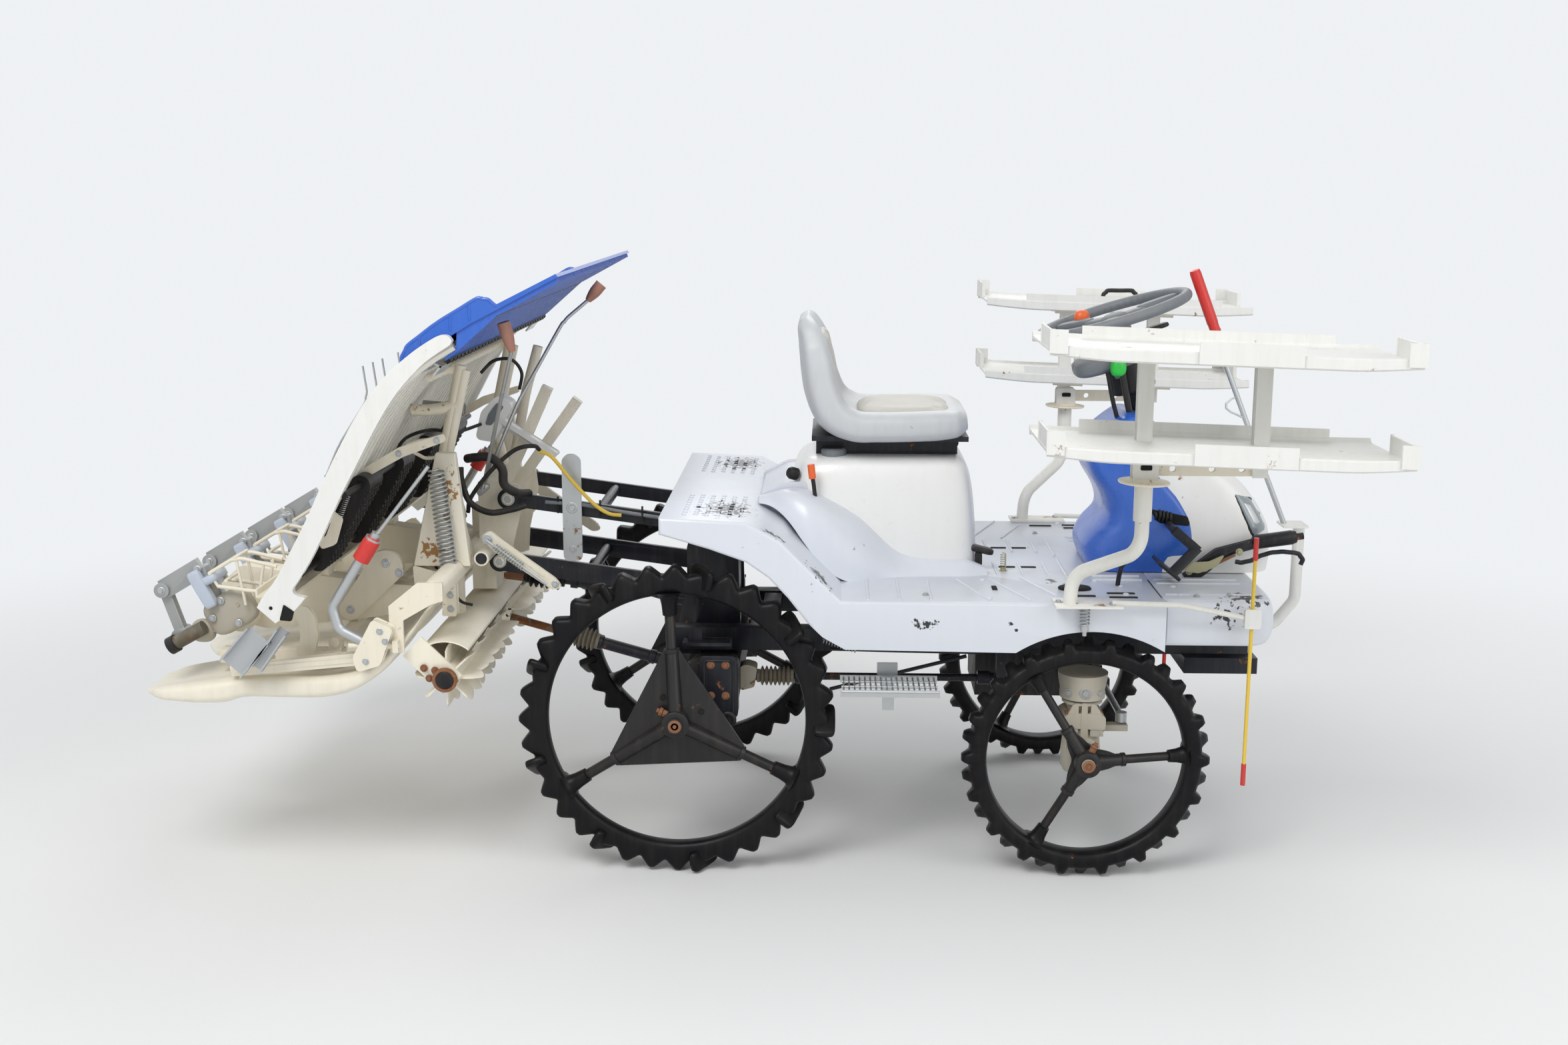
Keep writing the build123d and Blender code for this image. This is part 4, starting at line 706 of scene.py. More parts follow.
def tyreArrays(shape, y):
    # radius = section radius + lug height x lug profile along the turn x how far out the section point faces
    perLug, sides = 14, 28
    turn = np.linspace(0, 2 * pi, shape["lugs"] * perLug, endpoint=False)[:, None]
    around = np.linspace(0, 2 * pi, sides, endpoint=False)[None, :]
    middle, reach = (shape["base"] + shape["inner"]) / 2, (shape["base"] - shape["inner"]) / 2
    radial = middle + reach * signedPower(np.cos(around), 0.7)
    axial = shape["half"] * signedPower(np.sin(around), 0.7) + 0 * turn
    number = turn * shape["lugs"] / (2 * pi)
    offset = np.abs(number - np.round(number))
    lug = np.clip((shape["foot"] - offset) / (shape["foot"] - shape["tip"]), 0, 1)
    facing = np.clip(np.cos(around) * 1.5, 0, 1)
    if shape["shift"]:
        sideOf = np.where(np.round(number) % 2 > 0.5, 1.0, -1.0) * shape["shift"]
        facing = facing * np.exp(-(((axial - sideOf) / (shape["half"] * 0.75)) ** 4))
    if shape["paddles"]:
        every = shape["lugs"] // shape["paddles"]
        lug = lug * np.where(np.round(number) % every == 0, 0.35, 1.0)
    radial = radial + (shape["outer"] - shape["base"]) * lug * facing
    axial = axial * (1 + 0.07 * lug * np.clip(np.cos(around) + 0.5, 0, 1))
    verts = np.stack([
        shape["x"] - originAhead + radial * np.cos(turn), y + axial, shape["z"] + radial * np.sin(turn)
    ], axis=-1)
    parts = [(verts.reshape(-1, 3) / 1000.0, gridFaces(len(turn), sides, True))]
    for k in range(shape["paddles"]):
        angle = 2 * pi * k / shape["paddles"]
        high, wide, thick = shape["paddle"]
        slant = radians(shape["paddleSlant"])
        local = np.array(Matrix.Rotation(-angle, 3, "Y") @ Matrix.Rotation(slant, 3, "X"))
        r = shape["outer"] - high
        centre = (shape["x"] + r * cos(angle), y, shape["z"] + r * sin(angle))
        parts.append(roundedBox(centre, (high, wide, thick), 0.4, 11, 20, local))
    return joined(parts)


for place, shape in tyreShapes.items():
    for side, word in bothSides:
        verts, faces = tyreArrays(shape, side * halfTrack)
        tyre = meshPiece(f"tyre.{place}.{word}", verts, faces, f"wheel_{place}_{word}", "rubberTyre", angle=60)
        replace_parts(tyre, f"tyre_{place}_{word}")
print("tyres made")

# Seat: a moulded bucket and two pads laid in it

seatShape = {
    "spine": [
        (668, 1005), (640, 1002), (590, 1000), (520, 998), (450, 997), (400, 1000), (352, 1026), (326, 1080),
        (315, 1135), (304, 1185), (288, 1228), (279, 1246)
    ],
    "half": [150, 188, 205, 212, 214, 213, 211, 207, 201, 190, 160, 110],
    "thick": [20, 38, 42, 42, 42, 44, 48, 46, 44, 38, 26, 12], "dish": [0, 10, 18, 21, 22, 24, 28, 26, 22, 16, 8, 0]
}


def buildSeat():
    # a squarish section carried up the spine; its seating side sinks by the dish depth towards the middle
    count, sides = 60, 48
    spine = smoothPath([(x, 0.0, z) for x, z in seatShape["spine"]], count)
    steps = np.linspace(0, len(seatShape["spine"]) - 1, count)
    wide, thick, dish = (
        np.interp(steps, range(len(seatShape["spine"])), seatShape[key])[:, None] for key in ("half", "thick", "dish")
    )
    tangent = np.gradient(spine, axis=0)
    tangent /= np.linalg.norm(tangent, axis=1)[:, None]
    normal = np.stack([tangent[:, 2], np.zeros(count), -tangent[:, 0]], axis=-1) * -1.0
    normal = np.where(normal[:, 2:3] + normal[:, 0:1] < 0, -normal, normal)
    a = np.linspace(0, 2 * pi, sides, endpoint=False)[None, :]
    y = wide * signedPower(np.cos(a), 0.42)
    n = thick * signedPower(np.sin(a), 0.62)
    n = n - np.where(np.sin(a) > 0, 1.0, 0.0) * dish * np.clip(1 - (np.abs(y) / (wide * 0.82)) ** 4, 0, 1)
    verts = spine[:, None, :] + normal[:, None, :] * n[:, :, None] + np.array([0, 1.0, 0]) * y[:, :, None]
    verts[..., 0] -= originAhead
    shell = meshPiece("seatShell", *closedGrid(verts), "seat", "vinyl")
    turnOutwards(shell)
    smoothing = shell.modifiers.new("smooth", "SUBSURF")
    smoothing.levels = smoothing.render_levels = 1
    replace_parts(shell, "seat_cushion")


swell = {"pressure": 4.0, "mass": 0.3, "frames": 20, "voxel": 0.006}


def inflate(piece, cap):
    # the pad swells as cloth under pressure; no point moves further than the cap (mm)
    before = np.array([v.co for v in piece.data.vertices])
    cloth = piece.modifiers.new("swell", "CLOTH")
    cloth.settings.use_pressure = True
    cloth.settings.uniform_pressure_force = swell["pressure"]
    cloth.settings.effector_weights.gravity = 0.0
    cloth.settings.mass = swell["mass"]
    scene = bpy.context.scene
    for step in range(1, swell["frames"] + 1):
        scene.frame_set(step)
    shown = piece.evaluated_get(bpy.context.evaluated_depsgraph_get())
    after = np.array([v.co for v in shown.data.vertices])
    piece.modifiers.remove(cloth)
    scene.frame_set(1)
    move = after - before
    far = np.linalg.norm(move, axis=1)[:, None]
    move = move * np.minimum(1.0, (cap / 1000.0) / np.maximum(far, 1e-9))
    piece.data.vertices.foreach_set("co", (before + move).ravel())
    piece.data.update()


def buildPad(name, centre, half, tip, cap):
    # a low rounded pad, voxel remeshed, swollen and smoothed
    verts, faces = roundedBox(centre, half, 0.55, 25, 64, turnMatrix(tip))
    pad = meshPiece(name, verts, faces, "seat", "padVinyl")
    bpy.context.view_layer.objects.active = pad
    remesh = pad.modifiers.new("even", "REMESH")
    remesh.mode = "VOXEL"
    remesh.voxel_size = swell["voxel"]
    remesh.use_smooth_shade = True
    shown = pad.evaluated_get(bpy.context.evaluated_depsgraph_get())
    mesh = bpy.data.meshes.new_from_object(shown)
    pad.modifiers.remove(remesh)
    mesh.materials.clear()
    mesh.materials.append(finishes["padVinyl"])
    pad.data = mesh
    inflate(pad, cap)
    mesh.polygons.foreach_set("use_smooth", [True] * len(mesh.polygons))
    smoothing = pad.modifiers.new("smooth", "SUBSURF")
    smoothing.levels = smoothing.render_levels = 1


buildSeat()
buildPad("seatPad", (520.0, 0.0, 1020.0), (118.0, 150.0, 15.0), 0.0, 6.0)
buildPad("backPad", (334.0, 0.0, 1140.0), (12.0, 140.0, 78.0), -11.0, 5.0)
print("seat made")

# Body shells with their real rounded edges

softEdges = {
    "step_floor": (14.0, "flooring"), "rack_posts": (1.5, "postPaint"), "front_guard": (1.5, "whitePaint"),
    "chassis_frame": (3.0, "blackPaint"), "rear_axle_case": (7.0, "darkCast"), "front_axle": (6.0, "darkCast"),
    "lower_links": (2.5, "blackPaint"), "upper_links": (2.5, "blackPaint"), "planter_frame": (2.5, "creamPaint"),
    "brake_pedal": (2.0, "blackPaint"), "steering_column": (8.0, "blackPlastic"), "seat_pan": (3.0, "blackPaint"),
    "side_plates": (3.0, "patchyCream"), "planting_cases": (7.0, "creamPaint"), "float_stays": (2.0, "creamPaint"),
    "wheel_centre_rear_right": (2.0, "rustyBlack"), "wheel_centre_rear_left": (2.0, "rustyBlack"),
    "wheel_centre_front_right": (2.0, "rustyBlack"), "wheel_centre_front_left": (2.0, "rustyBlack"),
    "planting_arms": (5.0, "greyCast")
}
for name, (width, finishName) in softEdges.items():
    softenNode(name, width, finishName)
print("shells made")

# Floats: flat skis whose front curls up

floatShape = {
    "line": [
        (-1165, 436, 455), (-1123, 430, 464), (-1045, 425, 478), (-985, 427, 486), (-942, 437, 489), (-860, 436, 491),
        (-783, 437, 492), (-731, 446, 497), (-690, 462, 506), (-651, 487, 524), (-619, 515, 552), (-590, 552, 582),
        (-560, 592, 610), (-537, 630, 640)
    ],
    "full": [0.62, 0.92, 1.0, 1.0, 0.9, 0.88, 0.9, 0.95, 1.0, 1.0, 1.0, 1.0, 0.98, 0.9]
}


def buildFloat(name, low, high):
    # a squarish section per station between the bottom and the top line, with a shallow trough on top
    rows, columns = 70, 44
    line = np.array(floatShape["line"], float)
    stations = np.linspace(0, len(line) - 1, rows)
    smooth = smoothPath(line, rows)
    x, bottom, top = smooth[:, 0:1], smooth[:, 1:2], smooth[:, 2:3]
    full = np.interp(stations, range(len(line)), floatShape["full"])[:, None]
    a = np.linspace(0, 2 * pi, columns, endpoint=False)[None, :]
    half = (high - low) / 2
    y = (low + high) / 2 + half * full * signedPower(np.cos(a), 0.3)
    middle, reach = (top + bottom) / 2, np.maximum((top - bottom) / 2, 4.0)
    z = middle + reach * signedPower(np.sin(a), 0.7)
    trough = np.clip(1 - np.abs(y - (low + high) / 2) / (half * 0.72), 0, 1) ** 0.5
    z = z - np.where(np.sin(a) > 0.3, 1.0, 0.0) * trough * np.minimum(reach * 0.55, 12.0)
    grid = np.stack([x - originAhead + 0 * y, y, z], axis=-1)
    piece = meshPiece(name, *closedGrid(grid), "planter", "creamPlastic", angle=60)
    turnOutwards(piece)
    return piece


ski = buildFloat("float.right", -570.0, -345.0)
buildFloat("float.middle", -230.0, 230.0)
buildFloat("float.left", 345.0, 570.0)
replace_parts(ski, "floats")

# Levelling rotor: paddles with scalloped, pleated edges round a tube

rotorShape = {
    "x": -491.0, "z": 492.0, "core": 28.0, "outer": 75.0, "gap": 60.0, "end": 556.0, "paddles": 8, "pitch": 62.0
}


def buildRotor():
    # a paddle is a thin grid whose tip radius follows |sin| of the way along y and whose face leans by a sine
    parts = []
    count = 145
    for sign in (-1.0, 1.0):
        y = np.linspace(rotorShape["gap"], rotorShape["end"], count)
        wave = np.abs(np.sin(pi * (y - rotorShape["gap"]) / rotorShape["pitch"]))
        pleat = 5.0 * np.sin(2 * pi * (y - rotorShape["gap"]) / (2 * rotorShape["pitch"]))
        tip = rotorShape["outer"] - 13.0 * (1 - wave ** 0.7)
        for k in range(rotorShape["paddles"]):
            turn = 2 * pi * k / rotorShape["paddles"]
            root, flank = 0 * tip + rotorShape["core"] - 8, 0 * tip + 44
            radius = np.stack([root, flank, tip - 2, tip, tip - 2, flank, root], axis=1)
            lean = np.array([-2.2, -2.0, -1.4, 0.0, 1.4, 2.0, 2.2])[None, :]
            offset = lean + pleat[:, None] * np.clip((radius - 34) / 40, 0, 1)
            x = radius * cos(turn) - offset * sin(turn)
            z = radius * sin(turn) + offset * cos(turn)
            verts = np.stack([
                rotorShape["x"] - originAhead + x, sign * y[:, None] + 0 * x, rotorShape["z"] + z
            ], axis=-1)
            verts, faces = closedGrid(verts)
            parts.append((verts, faces if sign > 0 else [face[::-1] for face in faces]))
        verts, faces = tubeArrays(np.array([
            point(rotorShape["x"], sign * v, rotorShape["z"]) for v in (rotorShape["gap"], 300.0, rotorShape["end"])
        ]), rotorShape["core"] / 1000.0, 28)
        parts.append((verts, faces))
    verts, faces = tubeArrays(np.array([
        point(rotorShape["x"], v, rotorShape["z"]) for v in (-566.0, 0.0, 566.0)
    ]), 0.015, 20)
    parts.append((verts, faces))
    verts, faces = joined(parts)
    reel = meshPiece("rotorReel", verts, faces, "rotor_reel", "creamPlastic", angle=45)
    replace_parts(reel, "rotor_reel")


buildRotor()
print("floats and rotor made")

# Seedling platform: a ribbed curved bed, walls between the lanes and a smooth band with a hooked foot on each side

bedShape = {
    "line": [
        (-838, 690), (-765, 815), (-693, 940), (-644, 1025), (-600, 1089), (-545, 1150), (-490, 1194), (-438, 1226)
    ],
    "ribs": 31, "half": 630.0, "top": (1.5, 4.0), "under": (-4.0, -8.0),
    "outer": [
        (-856, 691), (-850, 699), (-825, 732), (-793, 788), (-757, 854), (-724, 921), (-689, 990), (-650, 1060),
        (-612, 1118), (-571, 1166), (-516, 1212), (-473, 1240), (-455, 1247), (-441, 1245), (-434, 1236)
    ],
    "inner": [
        (-438, 1228), (-481, 1200), (-510, 1175), (-547, 1135), (-578, 1092), (-608, 1042), (-639, 985), (-671, 927),
        (-699, 872), (-722, 825), (-750, 773), (-778, 729), (-792, 708), (-786, 696), (-768, 691)
    ],
    "foot": [(-832, 636), (-869, 669), (-857, 689.5), (-768, 689.5), (-790, 664)],
    "wall": [
        (-862, 696), (-790, 818), (-700, 972), (-640, 1070), (-590, 1134), (-578, 1120), (-625, 1056), (-838, 694)
    ]
}


def buildPlatform():
    # height above the bed's line swings between two values from rib to rib, on the top and on the underside
    rows = 48
    line = smoothPath(bedShape["line"], rows)
    along = np.gradient(line, axis=0)
    along /= np.linalg.norm(along, axis=1)[:, None]
    normal = np.stack([-along[:, 1], along[:, 0]], axis=-1)
    middles = np.linspace(-bedShape["half"] + 14, bedShape["half"] - 14, bedShape["ribs"])
    y = (middles[:, None] + np.array([-9.0, -7.0, 7.0, 9.0])[None, :]).ravel()
    high = np.tile([0, 1, 1, 0], bedShape["ribs"])
    y, high = np.concatenate([[-bedShape["half"]], y, [bedShape["half"]]]), np.concatenate([[0], high, [0]])
    layers = []
    for (low, swing), order in ((bedShape["top"], 1), (bedShape["under"], -1)):
        h = (low + swing * high)[None, :, None]
        place = line[:, None, :] + normal[:, None, :] * h
        place[..., 1] = np.maximum(place[..., 1], 690.5)
        layer = np.stack([place[..., 0] - originAhead, y[None, :] + 0 * place[..., 0], place[..., 1]], axis=-1)
        layers.append(layer[:, ::order])
    ring = np.concatenate(layers, axis=1)
    count = ring.shape[1]
    faces = gridFaces(rows, count).tolist()
    half = count // 2
    for row, turn in ((0, 1), (rows - 1, -1)):
        for k in range(half - 1):
            quad = [row * count + i for i in (k, k + 1, count - 2 - k, count - 1 - k)]
            faces.append(quad[::turn])
    bed = closedPiece("platformBed", (ring.reshape(-1, 3) / 1000.0, faces), "platform", "bedWhite")
    smoothShade(bed, 30)
    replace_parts(bed, "platform")
    outline = [tuple(p) for key, count in (("outer", 70), ("inner", 60)) for p in smoothPath(bedShape[key], count)]
    for side, word in bothSides:
        slabPiece(f"platformBand.{word}", [(outline, *span(side, 628, 645))], "platform", "whitePaint")
        slabPiece(f"bandFoot.{word}", [(bedShape["foot"], *span(side, 628, 645))], "planter", "whitePaint", bevel=1.0)
        # a black disc paints the shade inside the band's hole
        turnedSet(f"bandHole.{word}", [(
            (-840, side * 645.2, 668), (0, side, 0), [(0, 4), (0.5, 4), (0.5, 1)]
        )], "planter", "hole", 16)
        # the rail's hollow end is a black slab that paints the shade inside it
        slabPiece(f"railEnd.{word}", [
            plate([(-822, 642), (-798, 640), (-792, 662), (-812, 676)], 3, side, 640, 646)
        ], "planter", "hole", bevel=0.5)
    slabPiece("laneWalls", [(bedShape["wall"], y - 5, y + 5) for y in (-300, 0, 300)], "platform", "bedWhite")


buildPlatform()

# Blue extension: more fins between those of the solid, and a rolled rim on the near and far walls

extension = {
    "fins": 49,
    "low": [
        (-456, 1199), (-451, 1194), (-441, 1201), (-337, 1293), (-341, 1300), (-428, 1256), (-430, 1222), (-435, 1213)
    ],
    "high": [(-356, 1292), (-350, 1286), (-340, 1288), (-215, 1356), (-219, 1365)], "first": -619.0, "pitch": 24.8,
    "thick": 3.0, "teeth": [((-458, 1190), (-446, 1197)), ((-358, 1286), (-345, 1292))],
    "wall": [(-545, 1184), (-541, 1216), (-470, 1270), (-372, 1328), (-345, 1306)]
}
fins = []
for k in range(extension["fins"]):
    y = extension["first"] + extension["pitch"] * (k + 0.5)
    for key in ("low", "high"):
        fins.append(slabArrays(extension[key], y - extension["thick"] / 2, y + extension["thick"] / 2))
verts, faces = joined(fins)
meshPiece("extensionFins", verts, faces, "platform", "bluePlastic", smooth=False)
teeth = []
for k in range(2 * extension["fins"]):
    y = extension["first"] + extension["pitch"] / 2 * (k + 0.5)
    for (x0, z0), (x1, z1) in extension["teeth"]:
        drop = 2.0 + 5.0 * (k % 3 > 0)
        teeth.append(slabArrays([(x0, z0), (x0 + 4, z0 - drop), (x1, z1 - drop), (x1, z1)], y - 3.6, y + 3.6))
verts, faces = joined(teeth)
meshPiece("extensionTeeth", verts, faces, "platform", "blackPlastic", smooth=False)
rims = []
for side in (-1, 1):
    rims.append(([(x, side * 622, z) for x, z in extension["wall"]], 9.0))
    for x, z0, z1 in ((-505, 1212, 1243), (-440, 1256, 1286), (-400, 1278, 1310)):
        rims.append(([(x, side * 624, z0), (x, side * 624, z1)], 6.0))
rodSet("extensionRims", rims, "platform", "bluePlastic")

# Belts' tread: rows of small studs on the face turned away from the bed

studs = []
belt = {"foot": (-831.0, 691.0), "along": (0.5076, 0.8616), "out": (0.8616, -0.5076), "long": 429.5, "thick": 45.0}
slopeTurn = turnMatrix(-59.5)
for lane in laneMiddles:
    for share in np.linspace(0.17, 0.61, 15):
        up = np.array(belt["along"]) * belt["long"] * share
        x, z = np.array(belt["foot"]) + up + np.array(belt["out"]) * belt["thick"]
        for y in (-44.0, -22.0, 0.0, 22.0, 44.0):
            studs.append(roundedBox((x, lane + y, z), (4.5, 7.0, 3.0), 0.5, 4, 6, slopeTurn))
verts, faces = joined(studs)
meshPiece("beltStuds", verts, faces, "platform", "rubberBoot")

# Planting unit: covers, springs, hangers, links, lattices and channels


def pearOutline(top, topR, foot, footR):
    # the outline round two circles and their common tangents
    steps = 12
    top, foot = np.array(top, float), np.array(foot, float)
    way = foot - top
    far = np.linalg.norm(way)
    base = np.arctan2(way[1], way[0])
    lean = np.arccos((topR - footR) / far)
    outline = []
    for a in np.linspace(base + lean, base + 2 * pi - lean, 2 * steps):
        outline.append(tuple(top + topR * np.array([cos(a), sin(a)])))
    for a in np.linspace(base - lean, base + lean, steps):
        outline.append(tuple(foot + footR * np.array([cos(a), sin(a)])))
    return outline


slabPiece("driveCovers", [
    (pearOutline((-652, 618), 34.0, (-690, 580), 24.0), *span(side, 290, 300)) for side in (-1, 1)
], "planter", "creamPaint", bevel=5.0)
boltSet("driveCoverBolts", [
    (x, side * 344, z, (0, side, 0), 11.0) for side in (-1, 1) for x, z in ((-670, 700), (-757, 590), (-640, 678))
], "planter", "galvanised")
# thin black slabs on the covers paint the shade inside the kidney slots
slabPiece("kidneySlots", [
    (rounded([(-668, 625), (-655, 632), (-640, 612), (-650, 598)], 6), side * 301 - 0.6, side * 301 + 0.6)
    for side in (-1, 1)
], "planter", "blackPaint", bevel=0.2)

for side, word in bothSides:
    springPiece(f"lift_spring.{word}", (-536, side * 391, 928), (-513, side * 391, 674), 36.0, 4.8, 26,
                "planter", "galvanised")
    slabPiece(f"rotor_hanger.{word}", [
        plate([(-531, 592), (-501, 592), (-501, 674), (-524, 674)], 4, side, 372, 398),
        plate([(-597, 650), (-512, 660), (-517, 676), (-600, 700)], 6, side, 350, 372),
    ], "planter", "creamPaint", bevel=2.5)
    sideBolts(f"rotor_hanger_bolts.{word}", side, 398, 9.0, ((-512, 608), (-512, 640), (-512, 660)),
              "planter", "galvanised")
    slabPiece(f"slotted_link.{word}", [
        plate([
            (-452, 762), (-430, 776), (-402, 752), (-281, 664), (-268, 645), (-290, 640), (-420, 728)
        ], 9, side, 330, 340),
        plate([(-396, 738), (-392, 743), (-306, 677), (-310, 671)], 3, side, 340, 341.5)
    ], "planter", "creamPaint")
    springPiece(f"link_spring.{word}", (-420, side * 352, 745), (-352, side * 352, 693), 16.0, 2.6, 13,
                "planter", "galvanised", 10)
    rodPiece(f"link_rod.{word}", [(-436, side * 352, 757), (-300, side * 352, 655)], 7.0, "planter", "galvanised")
    boltSet(f"link_bolts.{word}", [
        (-436, side * 341, 757, (0, side, 0), 13.0), (-283, side * 341, 654, (0, side, 0), 9.0)
    ], "planter", "galvanised")
    rodPiece(f"cross_tube.{word}", [(-447, side * 361, 716), (-447, side * 250, 716)], 34.0,
             "planter", "creamPaint", sides=20)
    # a black cylinder at the tube's end paints the shade in its bore
    rodPiece(f"cross_tube_bore.{word}", [(-447, side * 362, 716), (-447, side * 354, 716)], 26.0,
             "planter", "blackPaint", sides=20)
    slabPiece(f"float_rail.{word}", [
        ([(-967, 514), (-963, 492), (-677, 520), (-678, 547)], *span(side, 536, 560)),
        ([(-955, 508), (-953, 500), (-690, 527), (-691, 536)], *span(side, 560, 561.5)),
    ], "planter", "creamPaint", bevel=1.5)
    slabPiece(f"curved_stay.{word}", [plate([
        (-812, 640), (-792, 616), (-786, 570), (-800, 523), (-838, 523), (-822, 566), (-826, 606), (-842, 624)
    ], 14, side, 494, 506)], "planter", "creamPaint")
    slabPiece(f"marker_block.{word}", [
        plate([(-632, 634), (-592, 616), (-622, 538), (-668, 524), (-676, 552)], 7, side, 589, 618)
    ], "planter", "creamPaint", bevel=3.0)
    sideBolts(f"marker_block_bolts.{word}", side, 618, 8.0, ((-617, 612), (-650, 545), (-606, 590)),
              "planter", "galvanised")
    body = f"marker_{word}"
    turnedSet(f"marker_sleeve.{word}", [((-656, side * 600, 764), (29, 0, 46), [
        (0, 14), (1, 18.6), (44, 18.6), (52, 17.5), (58, 13), (58, 5)
    ])], body, "red", 28)
    rodPiece(f"marker_ferrule.{word}", [(-627, side * 600, 811), (-619, side * 600, 823)], 20.0,
             body, "galvanised", sides=16)
    slabPiece(f"bed_latch.{word}", [plate([
        (-730, 868), (-702, 846), (-719, 792), (-746, 783), (-752, 800), (-735, 808), (-722, 840), (-738, 852)
    ], 5, side, 560, 572)], "platform", "creamPlastic")
    springPiece(f"bed_spring.{word}", (-703, side * 500, 890), (-724, side * 500, 838), 15.0, 2.4, 12,
                "platform", "galvanised", 10)
    slabPiece(f"bed_bracket.{word}", [plate([
        (-706, 922), (-700, 906), (-592, 966), (-500, 1000), (-503, 1014), (-600, 984)
    ], 4, side, 446, 458)], "planter", "creamPaint", bevel=1.5)
    sideBolts(f"bed_bracket_bolts.{word}", side, 458, 8.0, ((-600, 972), (-515, 1002)), "planter", "galvanised")

turnedSet("springTube", [((-590, -262, 1052), (97, 0, -8), [
    (0, 11.5), (0, 13.5), (60, 13.5), (61, 14.5), (96, 14.5), (96, 11.5), (6, 11.5)
])], "planter", "greyCast", 28)
slabPiece("bedClamps", [
    (outline, *span(side, 500, 596)) for side in (-1, 1)
    for outline in (
        [(-514, 1168), (-502, 1171), (-501, 1168), (-513, 1165)],
        [(-502, 1171), (-493, 1191), (-490, 1189), (-499, 1169)],
        [(-493, 1191), (-468, 1178), (-470, 1175), (-494, 1188)],
        [(-468, 1178), (-484, 1158), (-487, 1160), (-471, 1180)]
    )
], "platform", "aluminium", bevel=0.4)

rodSet("pressWires", [
    ([(-653, y, 1171), (-645, y, 1103), (-713, y, 1000), (-745, y, 930)], 4.5)
    for lane in laneMiddles for y in (lane - 75, lane + 5, lane + 85)
], "planter", "galvanised", sides=8)
rodSet("pressBars", [
    ([(-745, y, 932), (-745, y + 160, 932)], 6.0) for y in (lane - 75 for lane in laneMiddles)
], "planter", "galvanised")

# Lattice, fork guides, gear cases and tubes behind the platform's foot
lattice, guides, cases = [], [], []
lean = turnMatrix(-28)
for y in laneMiddles:
    for across in (-34, 34):
        lattice += [
            ([(-1026, y + across, 706), (-966, y + across, 742), (-876, y + across, 722)], 9.0),
            ([(-1010, y + across, 676), (-917, y + across, 664), (-880, y + across, 690)], 9.0),
            ([(-966, y + across, 742), (-950, y + across, 634)], 7.0),
            ([(-1026, y + across, 706), (-1010, y + across, 676)], 7.0),
            ([(-917, y + across, 664), (-905, y + across, 728)], 7.0),
        ]
    for x, z in ((-1026, 706), (-966, 742), (-917, 664), (-990, 690)):
        lattice.append(([(x, y - 38, z), (x, y + 38, z)], 8.0))
    guides.append(((-1046, y - 30, 668), (14, 12, 46), 0.3, 11, 20, lean))
    guides.append(((-1046, y + 30, 668), (14, 12, 46), 0.3, 11, 20, lean))
    guides.append(((-1030, y, 690), (20, 40, 10), 0.3, 9, 20, lean))
    cases.append(((-995, y, 612), (58, 22, 44), 0.55, 13, 26, lean))
    cases.append(((-1060, y, 566), (26, 20, 26), 0.7, 13, 24, None))
rodSet("guideLattice", lattice, "planter", "creamPaint", sides=8)
boxPiece("forkGuides", guides, "planter", "paleBlue")
boxPiece("plantingGearCases", cases, "planter", "sandyCast")
rodSet("plantingTubes", [([(-1112, y - 40, 546), (-1044, y - 40, 584)], 32.0) for y in laneMiddles],
       "planter", "oldTube", sides=20)
rodSet("plantingCaps", [([(-1124, y - 40, 539), (-1108, y - 40, 548)], 40.0) for y in laneMiddles],
       "planter", "blackPlastic", sides=24)
boltSet("plantingBolts", [
    (x, y - 24, z, (0, -1, 0), 9.0) for y in laneMiddles
    for x, z in ((-1108, 556), (-1142, 662), (-1010, 640), (-972, 590), (-1030, 600), (-1058, 712))
], "planter", "galvanised")

for side, word in bothSides:
    folds = []
    for (x0, z0), (x1, z1), wide, deep, at in (
        ((-944, 526), (-881, 598), 58.0, 20.0, 604), ((-891, 523), (-829, 608), 24.0, 26.0, 598)
    ):
        a, b = np.array([x0, z0], float), np.array([x1, z1], float)
        out = np.array([-(b - a)[1], (b - a)[0]]) / np.linalg.norm(b - a) * wide / 2
        folds.append(([tuple(p) for p in (a - out, b - out, b + out, a + out)], *span(side, at, at + 2.5)))
        for edge in (-out, out):
            inner = edge * (1 - 5.0 / wide)
            folds.append(([tuple(p) for p in (a + inner, b + inner, b + edge, a + edge)], *span(side, at, at + deep)))
    slabPiece(f"side_channels.{word}", folds, "planter", "galvanised", bevel=0.8)
rodSet("sideChannelStay", [
    ([(-930, side * 560, 560), (-930, side * 480, 560), (-900, side * 470, 510)], 12.0) for side in (-1, 1)
], "planter", "galvanised")

for side, word in bothSides:
    at = (-491, side * 568, 492)
    turnedSet(f"rotorRing.{word}", [(
        at, (0, side, 0), [(0, 24), (1, 27), (10, 27), (11, 25), (11, 21), (8, 20)]
    )], "planter", "rustyBar", 30)
    turnedSet(f"rotorCap.{word}", [
        (at, (0, side, 0), [(0, 19), (9.5, 19), (11, 17), (11, 2)])
    ], "planter", "blackPlastic", 30)
    sideBolts(f"rotorPlateBolts.{word}", side, 568, 9.0, ((-537, 517), (-526, 494), (-513, 512)),
              "planter", "rustyBar")

